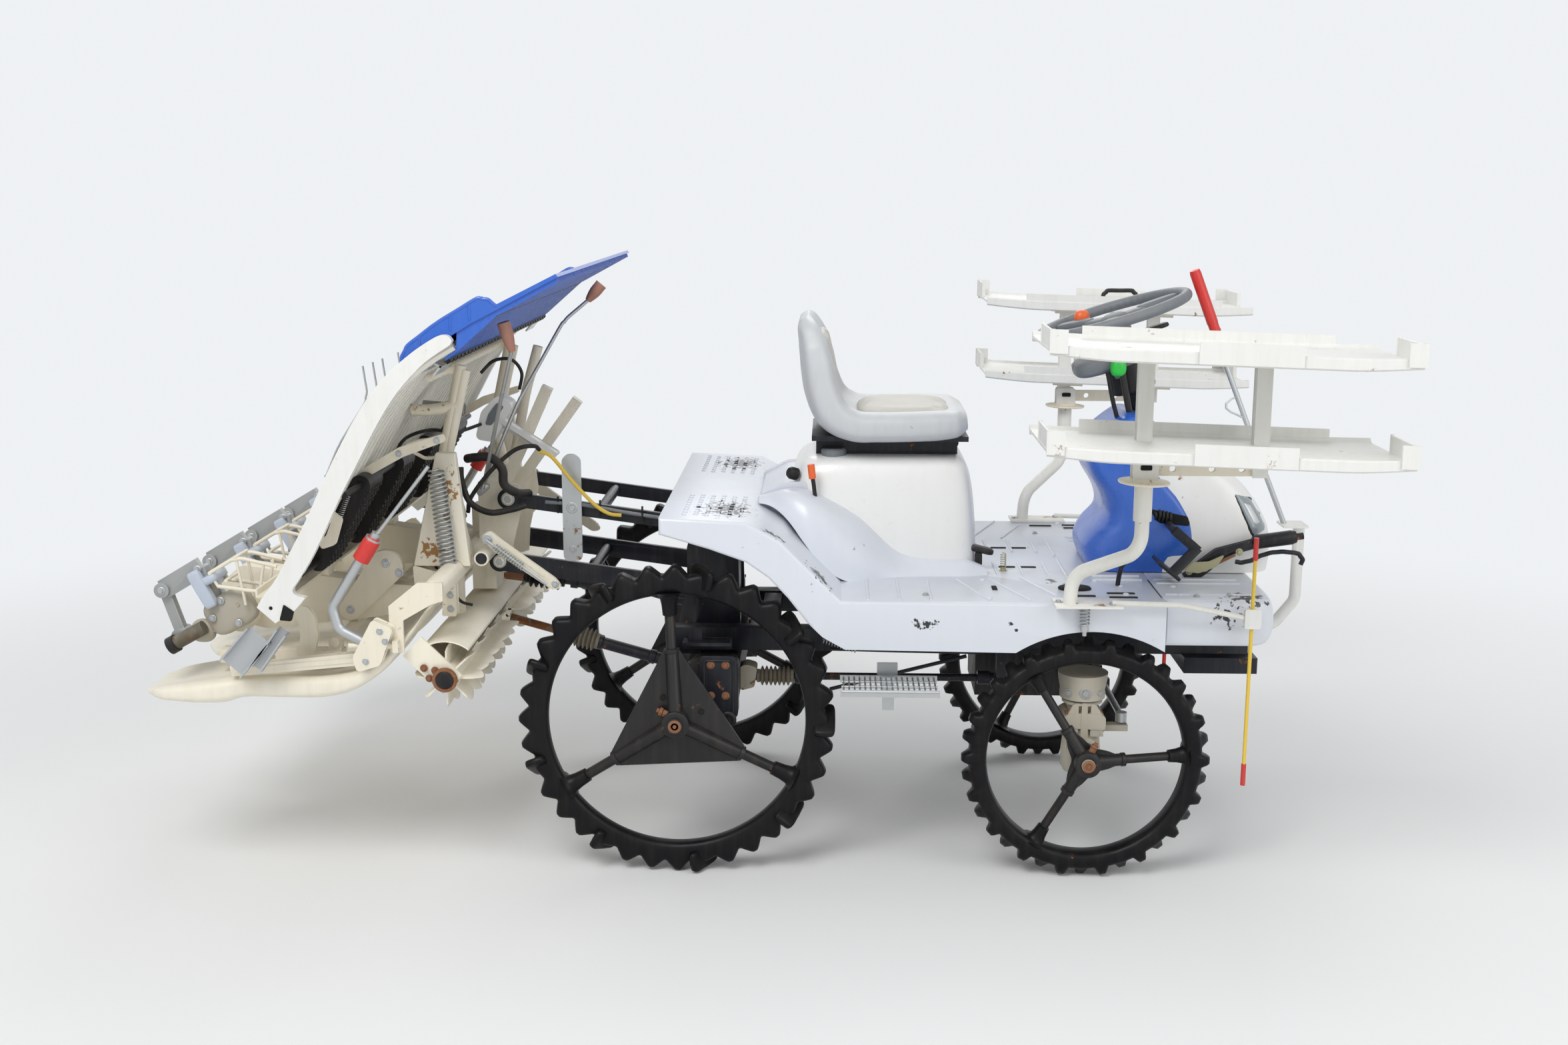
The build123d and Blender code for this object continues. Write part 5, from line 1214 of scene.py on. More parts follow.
# Control box, levers with their grips, cables and hoses
slabPiece("controlBox", [
    (rounded([(-494, 960), (-458, 954), (-414, 1037), (-443, 1056), (-480, 1020)], 9), -132, -66),
], "planter", "whitePlastic", bevel=5.0)
slabPiece("controlBoxFace", [
    (rounded([(-474, 992), (-460, 990), (-430, 1034), (-444, 1044), (-466, 1016)], 5), -134, -132),
], "planter", "greyPlastic", bevel=0.6)
slabPiece("controlPlate", [
    (rounded([(-447, 1002), (-436, 1006), (-304, 922), (-318, 908), (-447, 984)], 6), -104, -98),
    (rounded([(-447, 1002), (-436, 1006), (-304, 922), (-310, 914)], 4), -134, -98),
], "planter", "whitePaint", bevel=1.0)
slabPiece("controlScreen", [
    (rounded([(-420, 984), (-408, 978), (-352, 944), (-364, 940)], 3), -128, -108)
], "planter", "greyCast", bevel=0.5)
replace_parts(rodSet("gripRods", [
    ([(-478, -172, 840), (-366, -470, 1110), (-326, -556, 1212)], 9.0),
    ([(-478, -196, 840), (-384, -190, 1053), (-278, -165, 1239), (-219, -152, 1289)], 9.0),
    ([(-478, -204, 840), (-478, -120.6, 840)], 16.0)
], "planter", "galvanised"), "grip_levers")
for name, start, end in (
    ("gripOne", (-326, -556, 1206), (-342, -562, 1268)), ("gripTwo", (-222, -152, 1286), (-190, -148, 1324))
):
    a, b = np.array(start, float), np.array(end, float)
    t = np.linspace(0, 1, 24)
    verts, faces = tubeArrays(np.array([point(*(a + (b - a) * s)) for s in t]),
                              (7.0 + 6.0 * np.sin(np.clip(t * 1.25, 0, 1) * pi * 0.62) + 1.5 * t) / 1000.0, 16)
    meshPiece(name, verts, faces, "planter", "brown", angle=60)

for name, points, diameter in (
    ("cableBlackOne", [
        (-650, -300, 936), (-636, -300, 970), (-610, -300, 990), (-563, -300, 1002), (-516, -296, 996),
        (-504, -230, 992), (-486, -134, 992)
    ], 8.0),
    ("cableBlackTwo", [
        (-500, -240, 800), (-489, -250, 838), (-442, -250, 899), (-387, -240, 947), (-345, -226, 955),
        (-332, -217, 944)
    ], 10.0),
    ("hoseUpper", [
        (-500, -230, 925), (-476, -250, 931), (-441, -250, 931), (-415, -250, 905), (-411, -250, 868),
        (-385, -235, 846), (-362, -200, 838)
    ], 21.0),
    ("hoseLower", [
        (-515, -235, 905), (-511, -245, 874), (-492, -250, 826), (-448, -250, 802), (-400, -235, 806),
        (-370, -215, 812)
    ], 15.0),
    ("cableThin", [
        (-560, -330, 700), (-548, -345, 664), (-520, -350, 640), (-500, -345, 612), (-478, -330, 600)
    ], 7.0),
    ("cableRing", [
        (-470, -190, 1120), (-440, -180, 1148), (-400, -175, 1150), (-378, -170, 1120), (-384, -170, 1080)
    ], 8.0)
):
    tubePiece(name, points, diameter, "planter", "rubberBoot", 60)
tubePiece("cableYellow", [
    (-335, -217, 942), (-322, -217, 938), (-301, -214, 924), (-260, -198, 867), (-214, -182, 812), (-180, -178, 788),
    (-150, -172, 782)
], 9.0, "upper_links", "yellow", 70)
tubePiece("cableOnLink", [
    (-330, -168, 812), (-240, -170, 806), (-150, -168, 790), (-60, -166, 776), (0, -160, 768)
], 9.0, "upper_links", "greyPlastic", 50)
rodSet("linkClips", [
    ([(x, -170, z - 22), (x, -170, z + 18)], 5.0) for x, z in ((-300, 808), (-200, 800), (-100, 786))
], "upper_links", "rubberBoot")
slabPiece("linkUpright", [
    (rounded([(-288, 672), (-244, 672), (-244, 916), (-256, 928), (-276, 928), (-288, 916)], 14), -176, -170),
    (rounded([(-272, 836), (-260, 836), (-260, 912), (-272, 912)], 5), -177, -176),
], "upper_links", "galvanised", bevel=1.2)
boltSet("linkUprightBolts", [
    (-266, -176, 800, (0, -1, 0), 14.0), (-266, -176, 700, (0, -1, 0), 9.0)
], "upper_links", "galvanised")
boltSet("linkEyeBolts", [
    (x, side * 160, z, (0, side, 0), 17.0) for side in (-1, 1) for x, z in ((-421, 817), (64, 752))
], "upper_links", "galvanised")
boltSet("lowerEyeBolts", [
    (x, side * 160, z, (0, side, 0), 17.0) for side in (-1, 1) for x, z in ((-445, 665), (40, 600))
], "lower_links", "galvanised")

# Struts and tubes under the bed
rodSet("bedStruts", [
    ([(-482, -300, 1140), (-506, -300, 1040), (-530, -300, 942)], 25.0),
    ([(-482, 300, 1140), (-506, 300, 1040), (-530, 300, 942)], 25.0),
    ([(-377, 60, 1160), (-410, 60, 1048), (-440, 60, 900)], 25.0),
    ([(-606, -300, 1047), (-556, -300, 1047), (-500, -300, 1062)], 27.0),
    ([(-613, -330, 972), (-572, -330, 986), (-532, -330, 984)], 8.0),
    ([(-613, -330, 972), (-590, -330, 944), (-552, -330, 940), (-532, -330, 950)], 8.0),
], "planter", "creamPaint", sides=16)
print("planting unit dressed")

# Body shells: engine cover, cowl, hood and front deck, each level (z, rear x, front x, half width)


def evenAngles(shape, columns):
    # angles that give equal steps of length round the widest level
    z, low, high, half = max(shape["levels"], key=lambda level: level[2] - level[1])
    fine = np.linspace(0, 2 * pi, 7201)
    power = np.where(np.cos(fine) > 0, shape["ahead"], shape["behind"])
    x = (high - low) / 2 * signedPower(np.cos(fine), power)
    y = half * signedPower(np.sin(fine), power)
    length = np.concatenate([[0.0], np.cumsum(np.hypot(np.diff(x), np.diff(y)))])
    return np.interp(np.linspace(0, length[-1], columns, endpoint=False), length, fine)


def shellPiece(name, shape, body, finishName, skin):
    # each level is a rounded box in plan: x = middle + length x cos^p, y = width x sin^p; with a skin it is hollow
    rows, columns = 44, 120
    levels = smoothPath(np.array(shape["levels"], float), rows)
    a = evenAngles(shape, columns)[None, :]
    made = []
    for inward, table in [(0.0, levels)] + [(skin, levels[::-1])] * (skin > 0):
        z, low, high, half = (table[:, k:k + 1] for k in range(4))
        low, high, half = low + inward, high - inward, half - inward
        power = np.where(np.cos(a) > 0, shape["ahead"], shape["behind"])
        x = (low + high) / 2 + (high - low) / 2 * signedPower(np.cos(a), power)
        y = half * signedPower(np.sin(a), power)
        z = np.minimum(z, levels[0, 0] - inward) if inward else z
        made.append(np.stack([x - originAhead, y, z + 0 * x], axis=-1))
    grid = np.concatenate(made)
    count = len(grid)
    faces = gridFaces(count, columns).tolist() + [face[::-1] for face in endFaces(count, columns)]
    return closedPiece(name, (grid.reshape(-1, 3) / 1000.0, faces), body, finishName)


coverShape = {"ahead": 0.30, "behind": 0.34, "levels": [
    (922, 330, 612, 112), (921, 306, 640, 140), (914, 284, 656, 160), (900, 268, 668, 172), (870, 256, 678, 181),
    (820, 254, 686, 187), (760, 256, 691, 190), (700, 262, 694, 190), (655, 266, 694, 190), (651, 266, 694, 190)
]}
cowlShape = {"ahead": 0.16, "behind": 0.52, "levels": [
    (1021, 1046, 1066, 96), (1014, 1034, 1092, 118), (1000, 1014, 1112, 132), (975, 984, 1116, 141),
    (948, 956, 1104, 148), (926, 946, 1092, 152), (905, 949, 1098, 156), (870, 964, 1126, 160), (835, 986, 1160, 163),
    (800, 999, 1186, 164), (770, 996, 1204, 165), (740, 968, 1217, 165), (712, 952, 1224, 165), (690, 949, 1220, 164),
    (668, 955, 1200, 162), (652, 962, 1182, 160)
]}
hoodShape = {"ahead": 0.46, "behind": 0.10, "levels": [
    (936, 1108, 1150, 60), (932, 1104, 1190, 92), (922, 1100, 1228, 112), (905, 1100, 1262, 128),
    (885, 1104, 1292, 139), (858, 1110, 1325, 148), (826, 1120, 1352, 155), (790, 1120, 1375, 160),
    (753, 1120, 1392, 163), (715, 1120, 1398, 164), (680, 1120, 1398, 164), (652, 1120, 1394, 162)
]}
deckShape = {"ahead": 0.22, "behind": 0.03, "levels": [
    (650, 1087, 1316, 414), (648, 1087, 1328, 422), (640, 1086, 1338, 428), (622, 1086, 1344, 431),
    (595, 1086, 1346, 432), (568, 1086, 1343, 431), (552, 1086, 1336, 428), (545, 1086, 1326, 424)
]}
for name, shape, finishName, skin in (
    ("engine_cover", coverShape, "whitePlastic", 0.0), ("cowl", cowlShape, "bluePlastic", 0.0),
    ("hood", hoodShape, "whitePlastic", 0.0), ("front_deck", deckShape, "deckWhite", 4.0)
):
    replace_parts(smoothShade(shellPiece(name + ".shell", shape, "chassis", finishName, skin)), name)


def sideAt(shape, x, z):
    # the half width of a shell where its side passes this x and z: half x (1 - share^(2/p))^(p/2)
    table = np.array(shape["levels"], float)[::-1]
    low, high, half = (np.interp(z, table[:, 0], table[:, k]) for k in (1, 2, 3))
    middle, reach = (low + high) / 2, (high - low) / 2
    power = np.where(x > middle, shape["ahead"], shape["behind"])
    share = np.clip(np.abs(x - middle) / reach, 0, 0.9995) ** (2 / power)
    return half * (1 - share) ** (power / 2)


def patchPiece(name, shape, side, corners, lift, deep, finishName):
    # a patch lying on a shell's side, its (x, z) mixed from four corners in order round it
    rows, columns = 10, 14
    u, v = np.linspace(0, 1, rows)[:, None, None], np.linspace(0, 1, columns)[None, :, None]
    c = np.array(corners, float)[:, None, None, :]
    flat = c[0] * (1 - u) * (1 - v) + c[1] * (1 - u) * v + c[2] * u * v + c[3] * u * (1 - v)
    x, z = flat[..., 0], flat[..., 1]
    y = sideAt(shape, x, z)
    edge = np.minimum(np.minimum(u, 1 - u), np.minimum(v, 1 - v))[..., 0] * 9
    rise = lift * np.clip(edge, 0, 1) ** 0.5
    layers = [np.stack([x - originAhead, side * (y + d), z], axis=-1) for d in (rise, -deep + 0 * rise)]
    verts = np.concatenate([layer.reshape(-1, 3) for layer in layers]) / 1000.0
    n = rows * columns
    flatFaces = gridFaces(rows, columns, closeColumns=False).tolist()
    faces = flatFaces + [[i + n for i in face[::-1]] for face in flatFaces]
    rim = [k for k in range(columns)] + [(r + 1) * columns - 1 for r in range(1, rows)]
    rim += [n - 1 - k for k in range(1, columns)] + [(rows - 1 - r) * columns for r in range(1, rows - 1)]
    faces += [[a, b, b + n, a + n] for a, b in zip(rim, rim[1:] + rim[:1])]
    return smoothShade(closedPiece(name, (verts, faces), "chassis", finishName), 50)


lampPatches = (
    ("lampRim", hoodShape, [(1289, 846), (1337, 834), (1384, 755), (1340, 731)], 0.8, 4.0, "blackPlastic"),
    ("lamp", hoodShape, [(1294, 842), (1335, 830), (1381, 758), (1344, 737)], 2.6, 2.0, "lens"),
    ("lampInner", hoodShape, [(1314, 824), (1334, 816), (1362, 768), (1346, 762)], 3.4, 0.0, "aluminium"),
    # cowlGap: a black patch that paints the shade in the gap on the cowl's side
    ("cowlGap", cowlShape, [(1093, 806), (1196, 786), (1188, 764), (1116, 772)], 1.2, 3.0, "hole")
)
for side, word in bothSides:
    for name, shape, corners, lift, deep, finishName in lampPatches:
        patch = patchPiece(f"{name}.{word}", shape, side, corners, lift, deep, finishName)
        if name == "lamp" and side < 0:
            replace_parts(patch, "headlamps")
    springPiece(f"cowlBoot.{word}", (1108, side * 164, 792), (1150, side * 163, 783), 22.0, 7.0, 5,
                "chassis", "rubberBoot", 16)

# Floor: the raised waist round the cover's foot, dimples on the rear deck, ribs, slots and bolts on the floor
waistLine = {
    "x": [178, 200, 230, 262, 308, 365, 420, 452, 480, 520, 600, 700, 716],
    "top": [829, 840, 852, 857, 845, 815, 783, 752, 716, 692, 687, 684, 652],
    "floor": [826, 824, 818, 776, 712, 656, 649, 649, 649, 649, 649, 649, 649],
    "out": [200, 212, 232, 262, 284, 282, 268, 252, 236, 224, 218, 214, 196]
}


def buildWaist(side, word):
    # across: in under the cover, out over a rounded shoulder, then down a slope to the floor
    inner, foot, hidden = 176, 12, 170
    x = np.linspace(waistLine["x"][0], waistLine["x"][-1], 64)
    top, floor, out = (np.interp(x, waistLine["x"], waistLine[key])[:, None] for key in ("top", "floor", "out"))
    soft = np.ones(9) / 9.0
    top, floor, out = (
        np.convolve(np.pad(v[:, 0], 4, mode="edge"), soft, mode="valid")[:, None] for v in (top, floor, out)
    )
    t = np.linspace(0, 1, 24)[None, :]
    shoulder = np.sin(t * pi / 2) ** 0.75
    y = inner + (out - foot - inner) * shoulder + foot * t ** 6
    z = floor - 5 + (top - floor + 5) * np.clip(np.cos(t * pi / 2), 0, 1) ** 0.62
    outer = np.stack([x[:, None] + 0 * y - originAhead, side * y, z], axis=-1)
    back = np.stack([x[:, None] + 0 * y - originAhead, side * (0 * y + hidden), np.minimum(z, floor - 6)], axis=-1)
    ring = np.concatenate([outer, back[:, ::-23]], axis=1)
    smoothShade(closedPiece(f"waist.{word}", closedGrid(ring), "chassis", "flooring"), 50)


for side, word in bothSides:
    buildWaist(side, word)
slabPiece("waistBack", [
    (rounded([(176, 826), (236, 858), (285, 862), (285, 780), (210, 780)], 8), -172, 172)
], "chassis", "flooring", bevel=8.0)
dimples = []
for row in range(6):
    for step in range(9):
        y = -415 + step * 30 + 8 * (row % 2)
        for side in (-1, 1):
            x = 20 + row * 25
            dimples.append(((x, side * y, 834.5 - (x + 32) * 0.042), (5.5, 5.5, 2.6), 0.9, 7, 10, None))
for x, y in (
    (700, -250), (700, -430), (960, -250), (960, -430), (1010, -300), (1010, -380), (1130, -300), (1130, -380)
):
    for side in (-1, 1):
        dimples.append(((x, side * y, 650.5), (7, 7, 3), 0.9, 7, 12, None))
boxPiece("dimples", dimples, "chassis", "flooring")
ribs = []
for side in (-1, 1):
    for x0, y0, x1, y1 in (
        (430, 262, 430, 452), (500, 262, 500, 452), (570, 262, 570, 452), (640, 250, 700, 452), (715, 240, 790, 452),
        (790, 230, 850, 400), (740, 60, 740, 200), (800, 60, 800, 200), (860, 60, 860, 200), (960, 200, 1070, 200),
        (960, 240, 1070, 240), (900, 20, 900, 210)
    ):
        ribs.append(([(x0, side * y0, 650.4), (x1, side * y1, 650.4)], 7.0))
ribs += [([(1098, side * y, 650.2), (1290, side * y, 650.2)], 6.0) for side in (-1, 1) for y in (230, 270, 380)]
rodSet("floorRibs", ribs, "chassis", "flooring", sides=8)
# black rounded boxes paint the shade inside the floor's slots and one recess
slots = []
for x, y, longX, longY in (
    (910, 400, 60, 14), (1000, 372, 64, 12), (1000, 410, 64, 12), (720, 330, 12, 40), (770, 110, 40, 12),
    (820, 110, 40, 12)
):
    for side in (-1, 1):
        slots.append(((x, side * y, 650.3), (longX / 2, longY / 2, 1.6), 0.2, 7, 16, None))
slots.append(((902, -330, 652), (38, 26, 6), 0.8, 9, 20, None))
boxPiece("floorSlots", slots, "chassis", "hole")
rodSet("deckSeam", [
    ([(1084, side * 431, 546), (1084, side * 432, 640), (1084, side * 424, 649), (1084, side * 240, 650.5)], 2.4)
    for side in (-1, 1)
], "chassis", "hole", sides=6)
boltSet("floorBolts", [
    (x, side * y, 650.6, (0, 0, 1), 8.0) for side in (-1, 1)
    for x, y in ((1165, 395), (884, 300), (560, 400), (1240, 380))
], "chassis", "galvanised")

# Seat base, cover's lever and latch
turnedSet("fuelCap", [
    ((352, -112, 920), (0, 0, 1), [(0, 30), (14, 30), (18, 26), (18, 3)]),
    ((352, 112, 920), (0, 0, 1), [(0, 26), (12, 26), (12, 3)])
], "chassis", "greyPlastic")
rodSet("coverLever", [
    ([(312, -206, 812), (308, -207, 850), (303, -208, 884)], 10.0), ([(318, -190, 806), (312, -206, 812)], 12.0)
], "chassis", "blackPlastic")
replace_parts(rodPiece("coverLeverGrip", [
    (303, -208, 880), (301, -208, 896), (299, -208, 913)
], 17.0, "chassis", "orange", sides=16), "hand_levers")
turnedSet("coverPlug", [(
    (264, -150, 880), (-0.8, -0.5, 0.3), [(0, 15), (16, 15), (22, 11), (22, 2)]
)], "chassis", "blackPlastic")
boxPiece("coverLatch", [
    ((704, -150, 702), (30, 16, 8), 0.5, 11, 20, turnMatrix(14)), ((698, -150, 672), (9, 8, 30), 0.6, 11, 16, None)
], "chassis", "blackPlastic")
boltSet("coverBolt", [(757, -150, 650, (0, 0, 1), 11.0)], "chassis", "zinc")
springPiece("coverSpring", (757, -150, 652), (757, -150, 694), 13.0, 2.2, 8, "chassis", "zinc", 12)
print("body shells made")

# Steering wheel with finger grips, its hub, the dash below and its levers
wheelShape = {"centre": (1019.0, 0.0, 1247.0), "tilt": 17.3, "radius": 177.0, "tube": 13.0, "grips": 60, "dip": 1.3}


def buildWheel():
    # tube radius = tube - dip x a cosine wave per finger grip on the inner side, with three arms and a hub
    rows, columns = 240, 18
    turn = np.linspace(0, 2 * pi, rows, endpoint=False)[:, None]
    around = np.linspace(0, 2 * pi, columns, endpoint=False)[None, :]
    waves = 0.5 + 0.5 * np.cos(turn * wheelShape["grips"])
    tube = wheelShape["tube"] - wheelShape["dip"] * np.clip(-np.cos(around), 0, 1) * waves
    r = wheelShape["radius"] + tube * np.cos(around)
    local = [np.stack([r * np.cos(turn), r * np.sin(turn), tube * np.sin(around) + 0 * turn], axis=-1).reshape(-1, 3)]
    faces = [gridFaces(rows, columns, True)]
    for angle in (15, 135, 255):
        spin = turnMatrix(angle, "Z")
        for centre, half in (((122, 0, -5), (58, 17, 8)), ((52, 0, -16), (34, 21, 14))):
            v, f = roundedBox((originAhead + centre[0], centre[1], centre[2]), half, 0.5, 11, 20)
            local.append(v * 1000.0 @ spin.T)
            faces.append(f)
    v, f = turnedArrays(
        (originAhead, 0, -52), (0, 0, 1), [(0, 26), (6, 33), (40, 34), (50, 30), (55, 20), (56, 2)], 32
    )
    local.append(v * 1000.0)
    faces.append(f)
    tip = turnMatrix(-wheelShape["tilt"])
    base = point(*wheelShape["centre"])
    verts, faces = joined([(v @ tip.T / 1000.0 + base, f) for v, f in zip(local, faces)])
    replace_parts(meshPiece("steeringWheel", verts, faces, "steering_wheel", "greyPlastic", angle=60), "steering_wheel")


buildWheel()
tip = turnMatrix(-wheelShape["tilt"])
boxPiece("dash", [
    ((1008, 0, 1136), (84, 64, 24), 0.55, 17, 32, tip), ((1052, 0, 1118), (40, 50, 26), 0.6, 13, 24, tip)
], "chassis", "greyPlastic")
boxPiece("greenKnob", [((1024, -72, 1128), (19, 17, 22), 0.8, 13, 22, None)], "chassis", "green")
boxPiece("orangeKnob", [((958, 96, 1232), (19, 17, 20), 0.85, 13, 22, None)], "chassis", "orange")
rodSet("dashLevers", [
    ([(1000, -70, 1116), (1014, -66, 1050), (1034, -62, 985)], 11.0),
    ([(1034, -74, 1116), (1048, -68, 1050), (1064, -60, 990)], 16.0),
    ([(962, 96, 1222), (975, 80, 1150), (1000, 60, 1100)], 9.0),
    ([(1040, -60, 1140), (1090, -100, 1210), (1108, -108, 1224)], 9.0)
], "chassis", "blackPlastic")
boxPiece("throttleKnob", [((1100, -110, 1226), (32, 14, 6), 0.5, 9, 20, tip)], "chassis", "blackPlastic")

# Seedling racks: thin moulded trays with ridges, hooked corners and flanges on two square posts
rackShape = {
    "x": (765.0, 1480.0), "out": 850.0, "wide": 326.0, "levels": (1223.0, 1026.0), "tilt": -0.035,
    "posts": (990.0, 1230.0), "post": 14.0, "middle": 620.0, "webEdges": (1004.0, 1101.0, 1166.0, 1224.0)
}


def trayArrays(side, base):
    # a ridged top and a flat underside joined by a rim; the ends rise a little and the corners are cut round
    x = np.linspace(*rackShape["x"], 90)[:, None]
    share = (x - rackShape["x"][0]) / (rackShape["x"][1] - rackShape["x"][0])
    near = [0.0, 0.0, 0.008, 0.022, 0.045, 0.05, 0.075, 0.08, 0.12, 0.125, 0.15, 0.155]
    far = [0.845, 0.85, 0.875, 0.88, 0.92, 0.925, 0.95, 0.955, 0.978, 0.992, 1.0, 1.0]
    w = np.concatenate([near, np.linspace(0.2, 0.8, 25), far])[None, :]
    edges = [0.0, 0.008, 0.022, 0.045, 0.06, 0.94, 0.955, 0.978, 0.992, 1.0]
    top = np.interp(w, edges, [11, 14, 14, 8, 5, 5, 8, 14, 14, 11])
    low = np.interp(w, [0.0, 0.012, 0.03, 0.04, 0.96, 0.97, 0.988, 1.0], [-2, -6, -6, 1, 1, -6, -6, -2])
    bow = 10.0 * np.clip(np.abs(share - 0.5) * 2 - 0.62, 0, 1) ** 1.4 * 3.4
    narrow = 1 - 0.05 * np.clip(np.abs(share - 0.5) * 2 - 0.72, 0, 1) * 3.5
    level = base + rackShape["tilt"] * (x - 1120.0) + 0.4 * bow
    y = rackShape["out"] - rackShape["wide"] * (0.5 + (w - 0.5) * narrow)
    upper = np.stack([x - originAhead + 0 * w, side * y, level + top], axis=-1)
    under = np.stack([x - originAhead + 0 * w, side * y, level + low - 6.0 + 0.5 * bow], axis=-1)[:, ::-1]
    return closedGrid(np.concatenate([upper, under], axis=1))


def holedArrays(xLow, xHigh, zLow, zHigh, yLow, yHigh, radius):
    # a plate with a round hole in its middle: rings between the hole and the rectangle, on both faces
    cx, cz = (xLow + xHigh) / 2, (zLow + zHigh) / 2
    hx, hz = (xHigh - xLow) / 2, (zHigh - zLow) / 2
    corner = np.arctan2(hz, hx)
    a = np.unique(np.round(np.concatenate([
        np.linspace(0, 2 * pi, 24, endpoint=False), [corner, pi - corner, pi + corner, 2 * pi - corner]
    ]), 5))
    reach = np.minimum(hx / np.maximum(np.abs(np.cos(a)), 1e-6), hz / np.maximum(np.abs(np.sin(a)), 1e-6))
    rows = []
    for r, y in ((radius + 0 * a, yLow), (reach, yLow), (reach, yHigh), (radius + 0 * a, yHigh)):
        rows.append(np.stack([cx - originAhead + r * np.cos(a), y + 0 * a, cz + r * np.sin(a)], axis=-1))
    return np.concatenate(rows) / 1000.0, gridFaces(4, len(a), True)


def buildRack(side, word):
    # two trays, their bars and flanges, two posts, a web with holes and the disc and clamp at the foot
    body = f"rack_{word}"
    both = joined([trayArrays(side, base) for base in rackShape["levels"]])
    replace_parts(smoothShade(closedPiece(f"trays.{word}", both, body, "whitePaint"), 35), body)
    slabs, brackets = [], []
    y = side * rackShape["middle"]
    for base in rackShape["levels"]:
        def slanted(x0, x1, low, high):
            # a strip from x0 to x1, low to high above the tray's slanting line
            z0, z1 = (base + rackShape["tilt"] * (x - 1120.0) for x in (x0, x1))
            return [(x0, z0 + low), (x1, z1 + low), (x1, z1 + high), (x0, z0 + high)]
        slabs.append((slanted(1050, 1246, -6, 32), *span(side, 854, 850)))
        slabs.append((slanted(872, 1394, 4, 30), *span(side, 532, 527)))
        for x, turn in ((766, 1), (1479, -1)):
            slabs.append((slanted(*sorted((x, x + 5 * turn)), 4, 46), *span(side, 846, 690)))
            slabs.append((slanted(*sorted((x - turn, x + 30 * turn)), 3, 45), *span(side, 849.5, 844)))
        for x in rackShape["posts"]:
            brackets.append((slanted(x - 34, x + 44, -20, -7), *span(side, 660, 580)))
    half = rackShape["post"]
    for x, foot in zip(rackShape["posts"], (950.0, 962.0)):
        post = [(x - half, foot), (x + half, foot), (x + half, 1216.0), (x - half, 1216.0)]
        slabs.append((post, y - half, y + half))
    slabPiece(f"rackBars.{word}", slabs, body, "whitePaint")
    slabPiece(f"rackBrackets.{word}", brackets, body, "creamPaint")
    edges = rackShape["webEdges"]
    web = [holedArrays(a, b, 962.0, 992.0, y - 5, y + 5, 7.0) for a, b in zip(edges[:-1], edges[1:])]
    closedPiece(f"rackWeb.{word}", joined(web), body, "creamPaint")
    turnedSet(f"rackDisc.{word}", [((995, y, 944.5), (0.035, 0, 1), [
        (0, 30), (1, 52), (4, 54), (6, 53), (7, 34), (12, 30), (12, 3)
    ])], body, "creamPaint", 40)
    slabPiece(f"rackClamp.{word}", [
        (rounded([(972, 952), (1018, 952), (1018, 996), (972, 996)], 5), y - 19, y + 19)
    ], body, "postPaint", bevel=3.0)
    # a black slab through the clamp paints the shade in its hole
    slabPiece(f"rackClampHole.{word}", [
        (rounded([(984, 976), (1007, 976), (1007, 986), (984, 986)], 3), y - 20.5, y + 20.5)
    ], body, "hole", bevel=0.5)


for side, word in bothSides:
    buildRack(side, word)
    turnedSet(f"postBolt.{word}", [(
        (995, side * 620, 868), (0, 0, -1), [(0, 9), (10, 9), (12, 7), (12, 1)]
    )], "chassis", "rustySteel", 8)
    springPiece(f"footSpring.{word}", (905, side * 480, 646), (905, side * 480, 600), 20.0, 3.4, 6,
                "chassis", "galvanised", 12)
    turnedSet(f"footBolt.{word}", [(
        (905, side * 480, 604), (0, 0, -1), [(0, 9), (14, 9), (15, 5), (24, 5), (24, 1)]
    )], "chassis", "galvanised", 12)
    boltSet(f"footHeads.{word}", [
        (x, side * y, 655.6, (0, 0, 1), 10.0) for x, y in ((846, 478), (960, 500))
    ], "chassis", "galvanised")
print("racks made")

# Wheel centres: rubber sockets at the tyre, collars, rusty nuts and clamp bolts, the three holes

wheelTrim = {
    "rear": {
        "x": 0.0, "z": 360.0, "inner": 292.0, "rise": 30.0, "angles": (93, 213, 333), "rod": 12.0,
        "collar": (168.0, 16.0), "socket": 48.0, "nut": (469.0, 22.0), "axle": (479.0, 15.0)
    },
    "front": {
        "x": 925.0, "z": 280.0, "inner": 222.0, "rise": 34.0, "angles": (2, 122, 242), "rod": 10.0,
        "collar": (86.0, 14.0), "socket": 36.0, "nut": (480.0, 19.0), "axle": (488.0, 14.0)
    }
}


def spokePlace(trim, angle, radius, side):
    # a place on a spoke, which leans outwards towards the hub
    y = side * (halfTrack + trim["rise"] * (1 - radius / trim["inner"]))
    return np.array([trim["x"] + radius * cos(radians(angle)), y, trim["z"] + radius * sin(radians(angle))])


